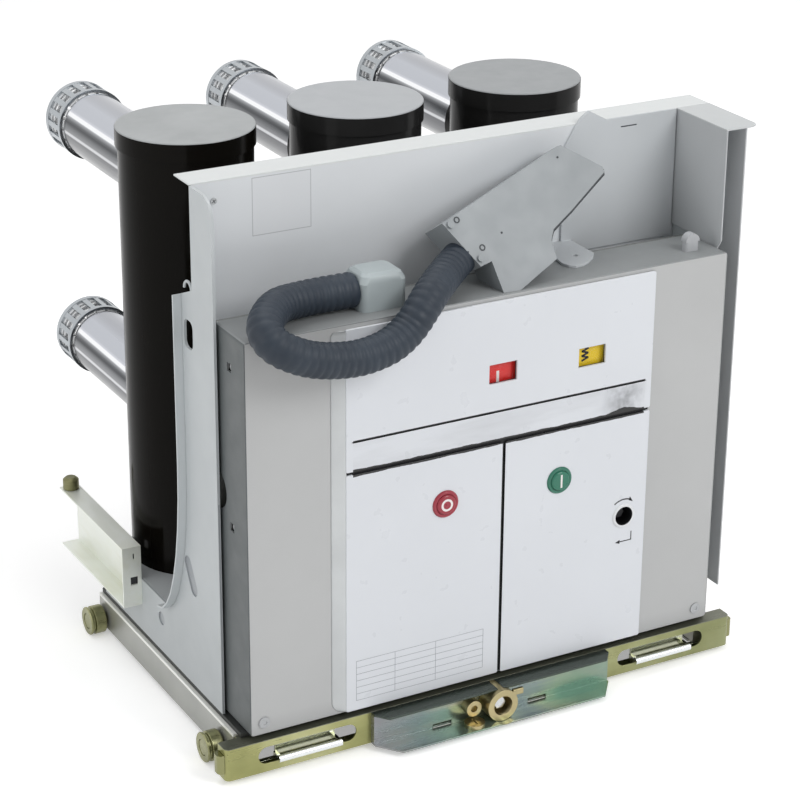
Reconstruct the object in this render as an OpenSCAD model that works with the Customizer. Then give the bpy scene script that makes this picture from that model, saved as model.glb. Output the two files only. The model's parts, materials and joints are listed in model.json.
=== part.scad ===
// Withdrawable indoor vacuum circuit breaker, 12 kV class, on its racking truck.
// Millimetres, +Z up. X runs across the phases and the operator stands on the -Y side.
// The origin is on the floor, under the middle of the truck and its contacts.

/* [Overall] */
// Depth from the lip of the racking tray to the ends of the contacts
overall_d = 676; // [660:1:700]
// Distance between neighbouring phases
phase_pitch = 210; // [200:1:230]
// Distance from the outer phases to the outside of the side rails
phase_margin = 94; // [90:1:100]
// Thickness of the folded sheet steel
sheet_t = 2; // [1.5:0.5:2.5]
// Thickness of the frame plates
plate_t = 3; // [2.5:0.5:4]

/* [Truck] */
// Reach of the wheels and the front beam outside the side rails
wheel_reach = 22; // [20:1:26]
// Distance from the face of the cover to the back of the truck
chassis_reach = 396; // [380:1:400]
// Height of the side rails and the front beam
rail_h = 38.5; // [36:0.5:44]
// Height of the rails above the floor
ride_h = 6; // [5:0.5:9]
// Depth of the front beam
beam_d = 24; // [22:1:26]
// Thickness of the deck between truck and frame
deck_t = 5.5; // [4:0.5:8]
// Diameter of a wheel
wheel_d = 34; // [30:1:36]
// Width of a wheel
wheel_w = 20; // [16:1:20]
// Diameter of a wheel axle
axle_d = 12; // [10:1:14]
// Distance from the face of the cover to the front axle
front_axle_y = 56; // [40:1:60]
// Distance from the rear axle to the back of the truck
rear_axle_inset = 12; // [10:1:20]

/* [Racking gear] */
// Racking travel of the truck against its front beam
rack_travel = 200; // [150:10:210]
// Diameter of the racking screw
screw_d = 16; // [14:1:18]
// Width of the racking tray
tray_w = 303; // [280:1:320]
// Reach of the tray's lip in front of the cover
tray_reach = 41; // [38:1:46]
// Outer diameter of the crank cup
cup_d = 38; // [34:1:40]
// Bore of the crank cup
cup_bore = 23; // [21:1:25]
// Width of each grip slot in the front beam
grip_w = 118; // [100:1:130]
// Height of each grip slot
grip_h = 20; // [18:1:22]
// Reach of a latch tongue past the end of the front beam
tongue_reach = 7; // [6:0.5:9]
// Travel of a side latch
latch_travel = 12; // [10:1:12]

/* [Cover and panel] */
// Distance from the sides of the front cover to the outside of the side rails
cover_inset = 10; // [9:1:14]
// Height of the front cover
cover_h = 450; // [430:1:470]
// Depth of the front cover
cover_d = 69; // [60:1:80]
// Width of the white panel
panel_w = 379; // [360:1:390]
// Height of the cover above and below the white panel, together
panel_margin = 6; // [5:1:14]
// Height of the upper plate of the white panel
upper_panel_h = 163; // [150:1:170]
// Width of the dark joints between the panel plates
joint_w = 3.5; // [2:0.5:5]
// Height of an indicator window
window_h = 25; // [20:1:28]
// Width of an indicator window
window_w = 38; // [30:1:42]
// Diameter of the stop and close buttons
button_d = 23; // [20:1:26]
// Travel of a button
button_travel = 5; // [3:0.5:6]
// Bore of the charging socket
charge_bore = 22; // [20:1:24]

/* [Frame and upper plate] */
// Height of the upper plate's rim above the floor
rim_z = 635.5; // [620:0.5:650]
// Depth of the rim
rim_d = 38; // [30:1:42]
// Reach of the right-hand wing in front of the upper plate
wing_reach = 96; // [80:1:100]
// Height of the shoulder of the side frames
shoulder_z = 505; // [480:1:515]
// Width of the flange around the side frames
flange_w = 10; // [8:1:12]
// Height of the rear arm of the side frames
arm_ledge_z = 117; // [112:1:122]

/* [Poles] */
// Distance from the face of the cover to the axis of the poles
pole_setback = 319; // [300:1:325]
// Diameter of a pole cylinder
pole_d = 150; // [140:1:152]
// Diameter of a pole's cap
cap_d = 155; // [150:1:158]
// Thickness of the rim of a pole's cap
cap_t = 1.5; // [1:0.5:6]
// Height of the thick collar at the top of a pole
collar_h = 20; // [12:1:30]
// Height of the top of the poles above the upper contact arms
pole_head = 73.5; // [70:0.5:80]
// Wall of a pole cylinder
pole_wall = 9; // [7:1:12]
// Height of the lower contact arms
lower_arm_z = 283; // [270:1:290]
// Distance between the upper and the lower contact arms
arm_spacing = 275; // [270:1:280]
// Diameter of a contact arm
arm_d = 79; // [70:1:82]
// Diameter of the vacuum bottle
bottle_d = 92; // [80:1:100]
// Gap that opens between the contacts
contact_gap = 11; // [9:1:12]
// Diameter of the moving stem
stem_d = 28; // [24:1:32]

/* [Contact clusters] */
// Number of contact fingers in a cluster
finger_n = 18; // [14:1:20]
// Outer diameter of a finger cluster
cluster_d = 80; // [76:1:82]
// Free bore between the fingers
cluster_bore = 55; // [50:1:58]
// Length of a finger
finger_l = 46; // [40:1:50]
// Outer diameter of the cage rings
cage_d = 86; // [84:1:90]

/* [Main shaft] */
// Diameter of the main shaft
shaft_d = 28; // [24:1:32]
// Throw of the levers on the main shaft
lever_r = 45; // [40:1:50]
// Height of the main shaft above the floor
shaft_z = 84; // [80:1:88]

/* [Shutter rails and hose] */
// Height of the shutter rails
shutter_h = 75; // [70:1:84]
// Width of the shutter rails' section
shutter_d = 23; // [20:1:26]
// Length of the shutter rails
shutter_l = 190; // [160:1:200]
// Height of the lower edge of the shutter rails above the floor
shutter_z = 85; // [80:1:90]
// Outer diameter of the control hose
hose_d = 38; // [34:1:40]

/* [Hidden] */
$fn = 64;
fit = 0.3;                                // gap between parts of one body that only pass
run = 0.08;                               // radial clearance of a shaft in its bore
cover_y = tray_reach - overall_d / 2;     // face of the cover
rear_y = overall_d / 2;                   // ends of the contacts
chassis_w = 2 * (phase_pitch + phase_margin);
truck_w = chassis_w + 2 * wheel_reach;
cover_w = chassis_w - 2 * cover_inset;
panel_h = cover_h - panel_margin;
chassis_top = ride_h + rail_h;
deck_top = chassis_top + deck_t;
cover_top = deck_top + cover_h;
beam_y = cover_y - 5;                     // face of the front beam
beam_back = beam_y + beam_d;
chassis_y = beam_back + 4;
chassis_back = cover_y + chassis_reach;
arm_back = chassis_back - rear_axle_inset; // the side frames' arms end over the rear axle
screw_z = ride_h + 19.5;
rail_x = chassis_w / 2;                   // outer face of a side rail
wheel_x = truck_w / 2;                    // outer face of a wheel
wheel_r = wheel_d / 2;
axle_y = [cover_y + front_axle_y, chassis_back - rear_axle_inset];
frame_x = rail_x - 4;                     // outer face of a side frame
frame_y = cover_y + 58;                   // front edge of a side frame
wall_y = cover_y + cover_d;               // front face of the mechanism wall
wall_t = 4;
plate_y = cover_y + 110;                  // front face of the upper plate
rim_back = plate_y + rim_d;
pole_y = cover_y + pole_setback;
pole_x = [-phase_pitch, 0, phase_pitch];
pole_foot_z = arm_ledge_z;                // poles stand level with the rear arms
pole_top_z = lower_arm_z + arm_spacing + pole_head;
pole_r = pole_d / 2;
arm_z = [lower_arm_z, lower_arm_z + arm_spacing];
arm_start = pole_y + 34;                  // arms are bolted to the terminal blocks here
cluster_y = rear_y - finger_l;            // front end of the fingers
panel_x = 8.5;                            // middle of the white panel
panel_z = deck_top + 1;
panel_t = 3;
gasket_t = 0.8;
panel_y = cover_y - gasket_t - panel_t;   // face of the white panel
split_z = panel_z + panel_h - upper_panel_h;
split_x = 10.5;
shaft_y = pole_y - lever_r;               // main shaft, in front of the pole axes
rod_top_z = lower_arm_z - 44;             // top of the insulating rods
rod_pin_z = shaft_z;
close_angle = contact_gap / lever_r * 180 / PI;
shutter_y = pole_y - 47;                  // front of a shutter rail
panel_right = panel_x + panel_w / 2;
panel_top = panel_z + panel_h;
screw_x = cover_w / 2 - 16;               // front screws of the cover
stop_at = [split_x - 72, split_z - 57.5];
close_at = [split_x + 71.5, split_z - 60.5];
socket_at = [panel_right - 29, split_z - 123];
red_at = [split_x - 3.5, panel_top - 82];
yellow_at = [panel_right - 79, panel_top - 84];

// ---- outlines -------------------------------------------------------------------------

// Corner points of a rectangle with round corners, centred on the origin
function round_outline(w, h, r, steps = 5) =
    [for (c = [[1, 1, 0], [-1, 1, 90], [-1, -1, 180], [1, -1, 270]])
        for (i = [0:steps])
            let (a = c[2] + 90 * i / steps)
            [c[0] * (w / 2 - r) + r * cos(a), c[1] * (h / 2 - r) + r * sin(a)]];

// A plate that stands in the XZ plane, its front face at y
module upright(y, t) {
    translate([0, y + t, 0]) rotate([90, 0, 0]) linear_extrude(t) children();
}

// A plate that stands in the YZ plane, from x onwards
module sideways(x, t) {
    translate([x, 0, 0]) rotate([90, 0, 90]) linear_extrude(t) children();
}

// A bar or bore along Y, from y onwards
module along_y(x, y, z, d, l) {
    translate([x, y + l, z]) rotate([90, 0, 0]) cylinder(d = d, h = l);
}

// A bar or bore along X, from x onwards
module along_x(x, y, z, d, l) {
    translate([x, y, z]) rotate([0, 90, 0]) cylinder(d = d, h = l);
}

// A box given by its two corners
module block(a, b) {
    translate(a) cube(b - a);
}

// ---- truck ----------------------------------------------------------------------------

module chassis_frame() {
    lip = 16;
    color("gainsboro") difference() {
        union() {
            for (s = [-1, 1]) {
                edge = s * rail_x;
                web = edge - s * plate_t;
                inner = edge - s * lip;
                block([min(edge, web), chassis_y, ride_h], [max(edge, web), chassis_back, chassis_top]);
                for (z = [ride_h, chassis_top - plate_t])
                    block([min(edge, inner), chassis_y, z], [max(edge, inner), chassis_back, z + plate_t]);
            }
            for (y = [chassis_y + 30, chassis_back - plate_t])
                block([-rail_x + lip, y, ride_h], [rail_x - lip, y + plate_t, chassis_top]);
            block([-rail_x + plate_t, chassis_back - plate_t, ride_h],
                  [rail_x - plate_t, chassis_back, chassis_top]);
        }
        for (s = [-1, 1], y = axle_y)
            along_x(s * rail_x - 10, y, wheel_r, axle_d, 20);
        along_y(0, chassis_y, screw_z, 30, 60);
    }
}

module deck_plate() {
    color("silver")
        block([-frame_x, cover_y + 12, chassis_top], [frame_x, chassis_back, deck_top]);
}

module racking_nut() {
    nut_y = chassis_y + 30 + plate_t;
    color("goldenrod") difference() {
        union() {
            along_y(0, nut_y - 12, screw_z, 29.4, 12);
            upright(nut_y, 8) translate([0, screw_z]) polygon(round_outline(46, 34, 6));
        }
        along_y(0, nut_y - 20, screw_z, screw_d + 2 * run, 40);
    }
}

// Stud that carries one wheel, its head outwards
module axle_stud(y) {
    along_x(-rail_x + plate_t - 0.01, y, wheel_r, axle_d, 0.01);
    translate([-wheel_x + 0.6, y, wheel_r]) rotate([0, 90, 0]) {
        cylinder(d = axle_d + 6, h = 3);
        cylinder(d = axle_d, h = wheel_x - rail_x + plate_t - 0.6);
    }
}

module wheel_axles() {
    color("darkkhaki") for (s = [0, 1], y = axle_y)
        mirror([s, 0, 0]) axle_stud(y);
}

// Left-hand wheel: outer disc, groove and tread, with a recess for the head of the stud
module truck_wheel(y) {
    bore_r = axle_d / 2 + run;
    head_r = axle_d / 2 + 3 + fit;
    tread_x = wheel_w - 0.6;
    profile = [[bore_r, 4], [head_r, 4], [head_r, 0], [wheel_r - 1, 0], [wheel_r, 1],
               [wheel_r, 2.6], [wheel_r - 3, 3.4], [wheel_r - 3, 5.4], [wheel_r, 6.4],
               [wheel_r, tread_x - 1], [wheel_r - 1, tread_x], [bore_r, tread_x]];
    translate([-wheel_x, y, wheel_r]) rotate([0, 90, 0]) rotate_extrude() polygon(profile);
}

module wheel_front_left() { color("darkkhaki") truck_wheel(axle_y[0]); }
module wheel_rear_left() { color("darkkhaki") truck_wheel(axle_y[1]); }
module wheel_front_right() { color("darkkhaki") mirror([1, 0, 0]) truck_wheel(axle_y[0]); }
module wheel_rear_right() { color("darkkhaki") mirror([1, 0, 0]) truck_wheel(axle_y[1]); }

// ---- racking gear ---------------------------------------------------------------------

grip_x = truck_w / 2 - 97.5;

// Plan of the beam's bent sheet, open to the back, with round corners at both ends
module beam_plan(inset, depth) {
    w = truck_w - 2 * inset;
    translate([0, beam_y + inset + 20]) intersection() {
        polygon(round_outline(w, 40, 6 - inset));
        translate([-w / 2, -20]) square([w, depth - inset]);
    }
}

module front_beam() {
    color("darkkhaki") difference() {
        union() {
            translate([0, 0, ride_h]) linear_extrude(rail_h) difference() {
                beam_plan(0, beam_d - 4);
                beam_plan(sheet_t, beam_d);
            }
            for (z = [ride_h, chassis_top - sheet_t]) translate([0, 0, z])
                linear_extrude(sheet_t) translate([-rail_x, beam_y + 1])
                square([chassis_w, beam_d - 1]);
            for (z = [ride_h, chassis_top - sheet_t]) translate([0, 0, z])
                linear_extrude(sheet_t) beam_plan(0.5, beam_d - 4);
        }
        for (s = [-1, 1])
            upright(beam_y - 1, 5) translate([s * grip_x, screw_z + 0.5])
                polygon(round_outline(grip_w, grip_h, grip_h / 2 - 0.1));
        for (s = [-1, 1])
            block([s * truck_w / 2 - 8, beam_y + 3.7, screw_z - 11.3],
                  [s * truck_w / 2 + 8, beam_y + 18.3, screw_z + 11.3]);
        along_y(0, beam_y - 1, screw_z, cup_bore + 10, 6);
    }
}

module beam_slides() {
    slide_w = 12;
    color("silver") for (s = [-1, 1]) {
        outer = s * (rail_x - plate_t - fit);
        inner = outer - s * slide_w;
        block([min(outer, inner), beam_back - 5, ride_h + plate_t + fit],
              [max(outer, inner), beam_back + rack_travel + 80, chassis_top - plate_t - fit]);
        block([min(outer, inner), beam_back - 5, ride_h + sheet_t],
              [max(outer, inner), chassis_y - fit, chassis_top - sheet_t]);
    }
    color("silver") difference() {
        block([-26, beam_y + sheet_t, ride_h + sheet_t], [26, beam_y + sheet_t + 14, chassis_top - sheet_t]);
        along_y(0, beam_y - 5, screw_z, screw_d + 2 * run, 40);
    }
}

// Shelf of the tray, its front corners cut off at an angle
module tray_shelf(z, reach, cut) {
    half = tray_w / 2;
    tip = cover_y - reach;
    translate([0, 0, z]) linear_extrude(sheet_t)
        polygon([[-half, beam_y], [-half, tip + cut], [-half + cut * 0.8, tip],
                 [half - cut * 0.8, tip], [half, tip + cut], [half, beam_y]]);
}

module racking_tray() {
    half = tray_w / 2;
    tray_y = cover_y - 12;
    color("cadetblue") difference() {
        union() {
            block([-half, tray_y, ride_h], [half, tray_y + sheet_t, chassis_top]);
            for (s = [-1, 1])
                block([s * (half - sheet_t / 2) - sheet_t / 2, tray_y, ride_h],
                      [s * (half - sheet_t / 2) + sheet_t / 2, beam_y, chassis_top]);
            tray_shelf(ride_h, tray_reach, 26);
            tray_shelf(chassis_top - sheet_t, 27, 14);
        }
        along_y(0, tray_y - 40, screw_z, cup_d + 2 * fit, 60);
        for (x = [-66, 57])
            block([x - 12, tray_y - 1, ride_h - 1], [x + 12, tray_y + sheet_t + 1, ride_h + 6]);
    }
}

module crank_cup() {
    cup_y = cover_y - 33;
    color("darkgoldenrod") difference() {
        union() {
            along_y(0, cup_y, screw_z, cup_d, beam_y - cup_y);
            along_y(0, beam_y, screw_z, cup_bore + 9, sheet_t);
            along_y(-32, cover_y - 24, screw_z, 19, 12);
            block([14, cup_y + 2, screw_z + 8], [27, cup_y + 6, screw_z + 15]);
        }
        along_y(0, cup_y - 1, screw_z, cup_bore, 25);
        along_y(0, cup_y - 1, screw_z, screw_d + 2 * run, 60);
        along_y(-32, cover_y - 25, screw_z, 8, 8);
    }
}

module key_disc() {
    color("olive") translate([-34, cover_y - 28.5, ride_h + sheet_t]) difference() {
        cylinder(d = 23, h = 4.5);
        translate([-1, -6, 3]) cube([2, 12, 3]);
    }
}

module racking_screw() {
    head_y = cover_y - 25;
    color("silver") {
        translate([0, head_y + 12, screw_z]) rotate([90, 0, 0]) cylinder(d = 15, h = 12, $fn = 6);
        along_y(0, head_y + 12, screw_z, screw_d, beam_back + rack_travel + 60 - head_y - 12);
    }
}

// Left-hand latch: tongue, slide bar and the pull bar that shows in the slot
module side_latch() {
    tongue_end = truck_w / 2 + tongue_reach;
    inner_end = grip_x + 70;
    tongue_l = tongue_end - inner_end;
    leaf_y = beam_y + 7;
    leaf_t = 3;
    pull = 36;
    color("lightgrey") {
        translate([-tongue_end + tongue_l / 2, beam_y + 11, screw_z - 11])
            linear_extrude(22) polygon(round_outline(tongue_l, 14, 5));
        block([-inner_end - 4, leaf_y, screw_z - 14], [-grip_x + pull, leaf_y + leaf_t, screw_z - 10]);
        block([-grip_x - pull, leaf_y, screw_z - 14], [-grip_x + pull, leaf_y + leaf_t, screw_z + 12]);
        for (s = [-1, 1])
            block([-grip_x + s * pull - 2, beam_y - 5, screw_z - 7.5],
                  [-grip_x + s * pull + 2, leaf_y + 1, screw_z - 1.5]);
        along_x(-grip_x - pull - 2, beam_y - 5, screw_z - 4.5, 8, 2 * pull + 4);
    }
}

module latch_left() { side_latch(); }
module latch_right() { mirror([1, 0, 0]) side_latch(); }

// ---- frame, cover and panel -----------------------------------------------------------

// Outline of a side frame, as [y, z]
back_y = cover_y + 138;
curve_z = deck_top + 262;
frame_outline = concat(
    [[frame_y, deck_top], [frame_y, rim_z - 22], [frame_y + 6, rim_z - 8], [frame_y + 18, rim_z - sheet_t],
     [plate_y, rim_z - sheet_t], [plate_y, shoulder_z + 16], [back_y, shoulder_z + 4],
     [back_y, curve_z]],
    [for (i = [1:8]) let (a = i * 11.25)
        [back_y + 68 * (1 - cos(a)), curve_z - (curve_z - arm_ledge_z) * sin(a)]],
    [[arm_back, arm_ledge_z], [arm_back, deck_top]]);

// Band along the back of the side frame, from the shoulder down to the rear arm
module frame_flange() {
    n = len(frame_outline);
    for (i = [6:n - 4]) {
        a = frame_outline[i];
        b = frame_outline[i + 1];
        d = (b - a) / norm(b - a);
        side = [d[1], -d[0]] * sheet_t;
        tip = b + d * (i < n - 4 ? 0.3 : 0);
        polygon([a, tip, tip + side, a + side]);
    }
}

module side_frame() {
    color("lightsteelblue") difference() {
        union() {
            sideways(-frame_x, plate_t) polygon(frame_outline);
            sideways(-frame_x - flange_w, flange_w + plate_t) frame_flange();
            block([-frame_x, wall_y + wall_t, deck_top], [-frame_x + 22, arm_back, deck_top + plate_t]);
            block([-frame_x, wall_y + wall_t, deck_top + 100],
                  [-frame_x + 14, wall_y + wall_t + plate_t, cover_top - 56]);
        }
        sideways(-frame_x - 1, plate_t + 2) translate([plate_y + 11, shoulder_z - 36])
            polygon(round_outline(22, 32, 8));
    }
}

// Round lug of bent rod that stands on the shoulder of a side frame
module shoulder_loop() {
    rod = 3;
    translate([-frame_x + plate_t / 2, plate_y + 12, shoulder_z + 13]) rotate([90, 0, 90])
        rotate_extrude(angle = 180) translate([9, 0]) circle(d = rod, $fn = 16);
}

// The left-hand side frame also has an oval and a round embossing on its outer face
module side_frame_left() {
    embossed = 1.6;
    difference() {
        side_frame();
        sideways(-frame_x - 1, 1 + embossed) translate([frame_y + 74, deck_top + 134])
            rotate(-30) polygon(round_outline(18, 46, 8.5));
        along_x(-frame_x - 1, frame_y + 160, deck_top + 42, 16, 1 + embossed);
    }
    color("lightsteelblue") shoulder_loop();
}

module side_frame_right() { mirror([1, 0, 0]) side_frame(); }

module mechanism_wall() {
    half = frame_x - plate_t;
    color("silver") block([-half, wall_y, deck_top], [half, wall_y + wall_t, cover_top]);
}

module upper_plate() {
    half = frame_x - plate_t;
    low = cover_top - 52;
    color("silver") {
        block([-half, plate_y, low], [half, plate_y + sheet_t, rim_z]);
        block([-frame_x, plate_y, rim_z - sheet_t], [frame_x + rim_d, rim_back, rim_z]);
        block([-half, wall_y + wall_t, low], [half, plate_y + sheet_t, low + sheet_t]);
    }
}

// Wing on the right: inner wall, rim and the outer wall that runs down to the rails
module right_wing() {
    inner = cover_w / 2;
    outer = truck_w / 2;
    front = plate_y - wing_reach;
    edge = frame_x + rim_d;
    under = rim_z - sheet_t;
    seat_z = rim_z - sheet_t / 2;          // the walls reach half-way into the rim
    color("silver") {
        sideways(inner, sheet_t)
            polygon([[front, cover_top + 8], [front, seat_z], [plate_y, seat_z],
                     [plate_y, cover_top + fit], [wall_y - fit, cover_top + fit],
                     [wall_y - fit, cover_top - 14], [front + 14, cover_top - 14]]);
        translate([0, 0, under]) linear_extrude(sheet_t)
            polygon(concat([[inner, plate_y], [inner, front]],
                    [for (i = [0:6]) let (a = 15 * i - 90)
                        [edge - 12 + 12 * cos(a), front + 12 + 12 * sin(a)]],
                    [[edge, plate_y]]));
        block([outer - sheet_t, front + 6, chassis_top + 29], [outer, plate_y, seat_z]);
        block([outer - sheet_t, plate_y - 1, chassis_top + 29], [outer, rim_back, under]);
        block([frame_x, plate_y - 10, chassis_top + 60],
              [outer - sheet_t / 2, plate_y - 10 + sheet_t, seat_z]);
    }
}

module front_cover() {
    half = cover_w / 2;
    color("silver") difference() {
        translate([0, wall_y, deck_top]) rotate([90, 0, 0]) linear_extrude(cover_d)
            translate([0, cover_h / 2]) polygon(round_outline(cover_w, cover_h, 4));
        block([-half + sheet_t, cover_y + sheet_t, deck_top + sheet_t],
              [half - sheet_t, wall_y + 1, cover_top - sheet_t]);
        for (at = [red_at, yellow_at])
            upright(cover_y - 1, sheet_t + 2) translate(at) square([window_w, window_h], center = true);
        for (at = [stop_at, close_at])
            along_y(at[0], cover_y - 1, at[1], button_d + 8, sheet_t + 2);
        along_y(socket_at[0], cover_y - 1, socket_at[1], charge_bore + 6, sheet_t + 2);
        for (s = [-1, 1])
            along_y(s * screw_x, cover_y - 1, deck_top + 14, 7, sheet_t + 2);
        for (s = [-1, 1], z = [deck_top + 232, deck_top + 412])
            block([s * half - 5, cover_y + 31, z - 4.5], [s * half + 5, cover_y + 40, z + 4.5]);
        for (s = [-1, 1])
            translate([s * half - 5, wall_y, deck_top + 264]) rotate([0, 90, 0]) cylinder(d = 42, h = 10);
    }
}

// Openings of the panel: two windows, two buttons and the charging socket
module panel_holes() {
    for (at = [red_at, yellow_at])
        translate(at) square([window_w - 4, window_h - 3], center = true);
    for (at = [stop_at, close_at])
        translate(at) circle(d = button_d + 8);
    translate(socket_at) circle(d = charge_bore + 6);
}

module panel_gasket() {
    color("black") upright(cover_y - gasket_t, gasket_t) difference() {
        translate([panel_x - panel_w / 2 + 1, panel_z + 1]) square([panel_w - 2, panel_h - 2]);
        panel_holes();
    }
}

module upper_panel() {
    color("white") upright(panel_y, panel_t) difference() {
        translate([panel_x, split_z + (upper_panel_h + joint_w) / 2])
            polygon(round_outline(panel_w, upper_panel_h - joint_w, 2));
        panel_holes();
        translate([panel_x, split_z + upper_panel_h * 0.226]) square([panel_w - 14, 1.2], center = true);
    }
}

module lower_panels() {
    left = panel_x - panel_w / 2;
    right = panel_x + panel_w / 2;
    height = split_z - panel_z;
    color("white") for (span = [[left, split_x - joint_w / 2], [split_x + joint_w / 2, right]])
        upright(panel_y, panel_t) difference() {
            translate([(span[0] + span[1]) / 2, panel_z + height / 2])
                polygon(round_outline(span[1] - span[0], height, 2));
            panel_holes();
        }
}

module window_lenses() {
    color("gold") for (at = [red_at, yellow_at])
        upright(cover_y - gasket_t - 1.2, 1.2 + gasket_t + sheet_t)
            translate(at) square([window_w - 4.4, window_h - 3.4], center = true);
}

module button_collars() {
    color("firebrick") for (at = [stop_at, close_at])
        translate([at[0], cover_y + 8, at[1]]) rotate([90, 0, 0]) difference() {
            union() {
                cylinder(d = button_d + 7.6, h = 8 + gasket_t + panel_t);
                translate([0, 0, 8 + gasket_t + panel_t])
                    cylinder(d1 = button_d + 9, d2 = button_d + 6, h = 2);
                cylinder(d = button_d + 16, h = 8 - sheet_t);
            }
            translate([0, 0, -1]) cylinder(d = 9 + 2 * run, h = 20);
            translate([0, 0, 1.5]) cylinder(d = button_d + 2 * fit, h = 20);
        }
}

// Round button with its stem, its head proud of the panel
module push_button(at) {
    head = 9;
    translate([at[0], panel_y - 4 + head, at[1]]) rotate([90, 0, 0]) {
        cylinder(d = button_d, h = head - 1.5);
        translate([0, 0, head - 1.5]) cylinder(d1 = button_d, d2 = button_d - 3, h = 1.5);
        translate([0, 0, -24]) cylinder(d = 9, h = 24);
    }
}

module stop_button() { color("crimson") push_button(stop_at); }
module close_button() { color("seagreen") push_button(close_at); }

module charging_socket() {
    back = cover_y + 40;
    color("whitesmoke") translate([socket_at[0], back, socket_at[1]]) rotate([90, 0, 0]) difference() {
        union() {
            cylinder(d = charge_bore + 5.4, h = back - panel_y);
            translate([0, 0, back - panel_y]) cylinder(d1 = charge_bore + 8, d2 = charge_bore + 5, h = 1.5);
        }
        translate([0, 0, -1]) cylinder(d = charge_bore, h = 80);
    }
}

module charging_shaft() {
    color("dimgray") {
        along_y(socket_at[0], cover_y + 31.8, socket_at[1], 14, wall_y - cover_y - 32);
        translate([socket_at[0], cover_y + 31.8, socket_at[1]]) rotate([90, 0, 0])
            cylinder(d = 13.5, h = 26, $fn = 6);
    }
}

// Flag that slides behind a window, half of it in each colour
module flag_plate(at) {
    flag_y = cover_y + sheet_t + 1.5;
    block([at[0] - window_w / 2, flag_y, at[1] - window_h / 2],
          [at[0] + window_w / 2, flag_y + 2, at[1] + window_h * 1.5]);
    block([at[0] - 4, flag_y + 2, at[1] - 40], [at[0] + 4, flag_y + 6, at[1] + 10]);
}

module position_flag() { color("red") flag_plate(red_at); }
module spring_flag() { color("gold") flag_plate(yellow_at); }

// Guides on the back of the cover that hold both flags by their edges
module flag_guides() {
    front = cover_y + sheet_t;
    color("silver") for (at = [red_at, yellow_at], s = [0, 1]) translate([at[0], 0, 0]) mirror([s, 0, 0]) {
        block([window_w / 2 + fit, front, at[1] - 34], [window_w / 2 + 5, front + 5.6, at[1] + 42]);
        block([window_w / 2 - 3, front + 3.8, at[1] - 34], [window_w / 2 + 5, front + 5.6, at[1] + 42]);
        block([window_w / 2 - 3, front, at[1] + window_h / 2 + 2],
              [window_w / 2 + 5, front + 1.2, at[1] + 42]);
    }
}

module cover_screws() {
    color("silver") {
        for (s = [-1, 1])
            translate([s * screw_x, cover_y, deck_top + 14]) rotate([90, 0, 0]) difference() {
                union() {
                    cylinder(d = 13, h = 1.6);
                    translate([0, 0, -8]) cylinder(d = 6, h = 8);
                }
                translate([0, 0, 0.8]) cylinder(d = 6, h = 2, $fn = 6);
            }
        for (s = [-1, 1], z = [deck_top + 232, deck_top + 412])
            translate([s * (cover_w / 2 - 5.2), cover_y + 35.5, z]) rotate([0, 90, 0])
                cylinder(d = 6, h = 6, center = true);
    }
}

// ---- mechanism inside the cover -------------------------------------------------------

cheek_x = [-120, 60];

module mechanism_cheeks() {
    color("slategray") {
        for (x = cheek_x) difference() {
            block([x - 3, cover_y + 26, deck_top + 40], [x + 3, wall_y, cover_top - 40]);
            along_x(x - 5, cover_y + 48, deck_top + 300, 20, 10);
            along_x(x - 5, cover_y + 48, deck_top + 120, 20, 10);
        }
        for (z = [deck_top + 300, deck_top + 120])
            along_x(cheek_x[0] - 8, cover_y + 48, z, 20, cheek_x[1] - cheek_x[0] + 16);
        for (s = [-1, 1], z = [deck_top + 232, deck_top + 412])
            block([s * (cover_w / 2 - 8.2) - (s > 0 ? 18 : 0), cover_y + 20, z - 9],
                  [s * (cover_w / 2 - 8.2) + (s > 0 ? 0 : 18), wall_y, z + 9]);
        difference() {
            block([socket_at[0] - 26, cover_y + 40, socket_at[1] - 30],
                  [socket_at[0] + 26, wall_y, socket_at[1] + 30]);
            along_y(socket_at[0], cover_y + 39, socket_at[1], 14 + 2 * run, cover_d);
        }
    }
}

module spring_motor() {
    color("dimgray") {
        along_x(-60, cover_y + 42, deck_top + 168, 44, 84);
        block([-50, cover_y + 40, deck_top + 160], [10, wall_y, deck_top + 176]);
    }
}

module magnet_coils() {
    color("saddlebrown") for (at = [stop_at, close_at])
        difference() {
            block([at[0] - 16, cover_y + 38, at[1] - 16], [at[0] + 16, wall_y, at[1] + 16]);
            along_y(at[0], cover_y + 37, at[1], 10, 20);
        }
}

// ---- poles ----------------------------------------------------------------------------

module pole_beam() {
    half = frame_x - plate_t;
    low = pole_foot_z - 14;
    front = pole_y - 108;
    color("lightgrey") difference() {
        union() {
            block([-half, front, low], [half, pole_y + 62, pole_foot_z]);
            for (s = [0, 1]) mirror([s, 0, 0])
                block([-half, pole_y - 62, deck_top + plate_t], [-half + 6, pole_y - 10, low]);
        }
        for (x = pole_x)
            translate([x, pole_y, low - 1]) cylinder(d = 60, h = 40);
        block([-half + 6, front + 6, low - 1], [half - 6, pole_y + 56, pole_foot_z - 5]);
        along_x(-frame_x, shaft_y, shaft_z, shaft_d + 16, 2 * frame_x);
    }
}

module pole_cylinders() {
    top = pole_top_z - cap_t;
    inner = pole_d / 2 - pole_wall;
    color("black") for (x = pole_x) translate([x, pole_y, 0]) difference() {
        union() {
            translate([0, 0, pole_foot_z]) cylinder(d = pole_d, h = top - pole_foot_z);
            translate([0, 0, top - collar_h]) cylinder(d = cap_d, h = collar_h);
            for (z = arm_z)
                translate([0, pole_r + 6, z]) rotate([90, 0, 0]) cylinder(d = arm_d + 14, h = 36);
        }
        translate([0, 0, pole_foot_z + 12]) cylinder(r = inner, h = top - pole_foot_z - 11);
        translate([0, 0, pole_foot_z - 1]) cylinder(d = 60, h = 20);
        for (z = arm_z) translate([0, pole_r + 10, z]) rotate([90, 0, 0]) cylinder(d = arm_d, h = 60);
    }
}

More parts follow.
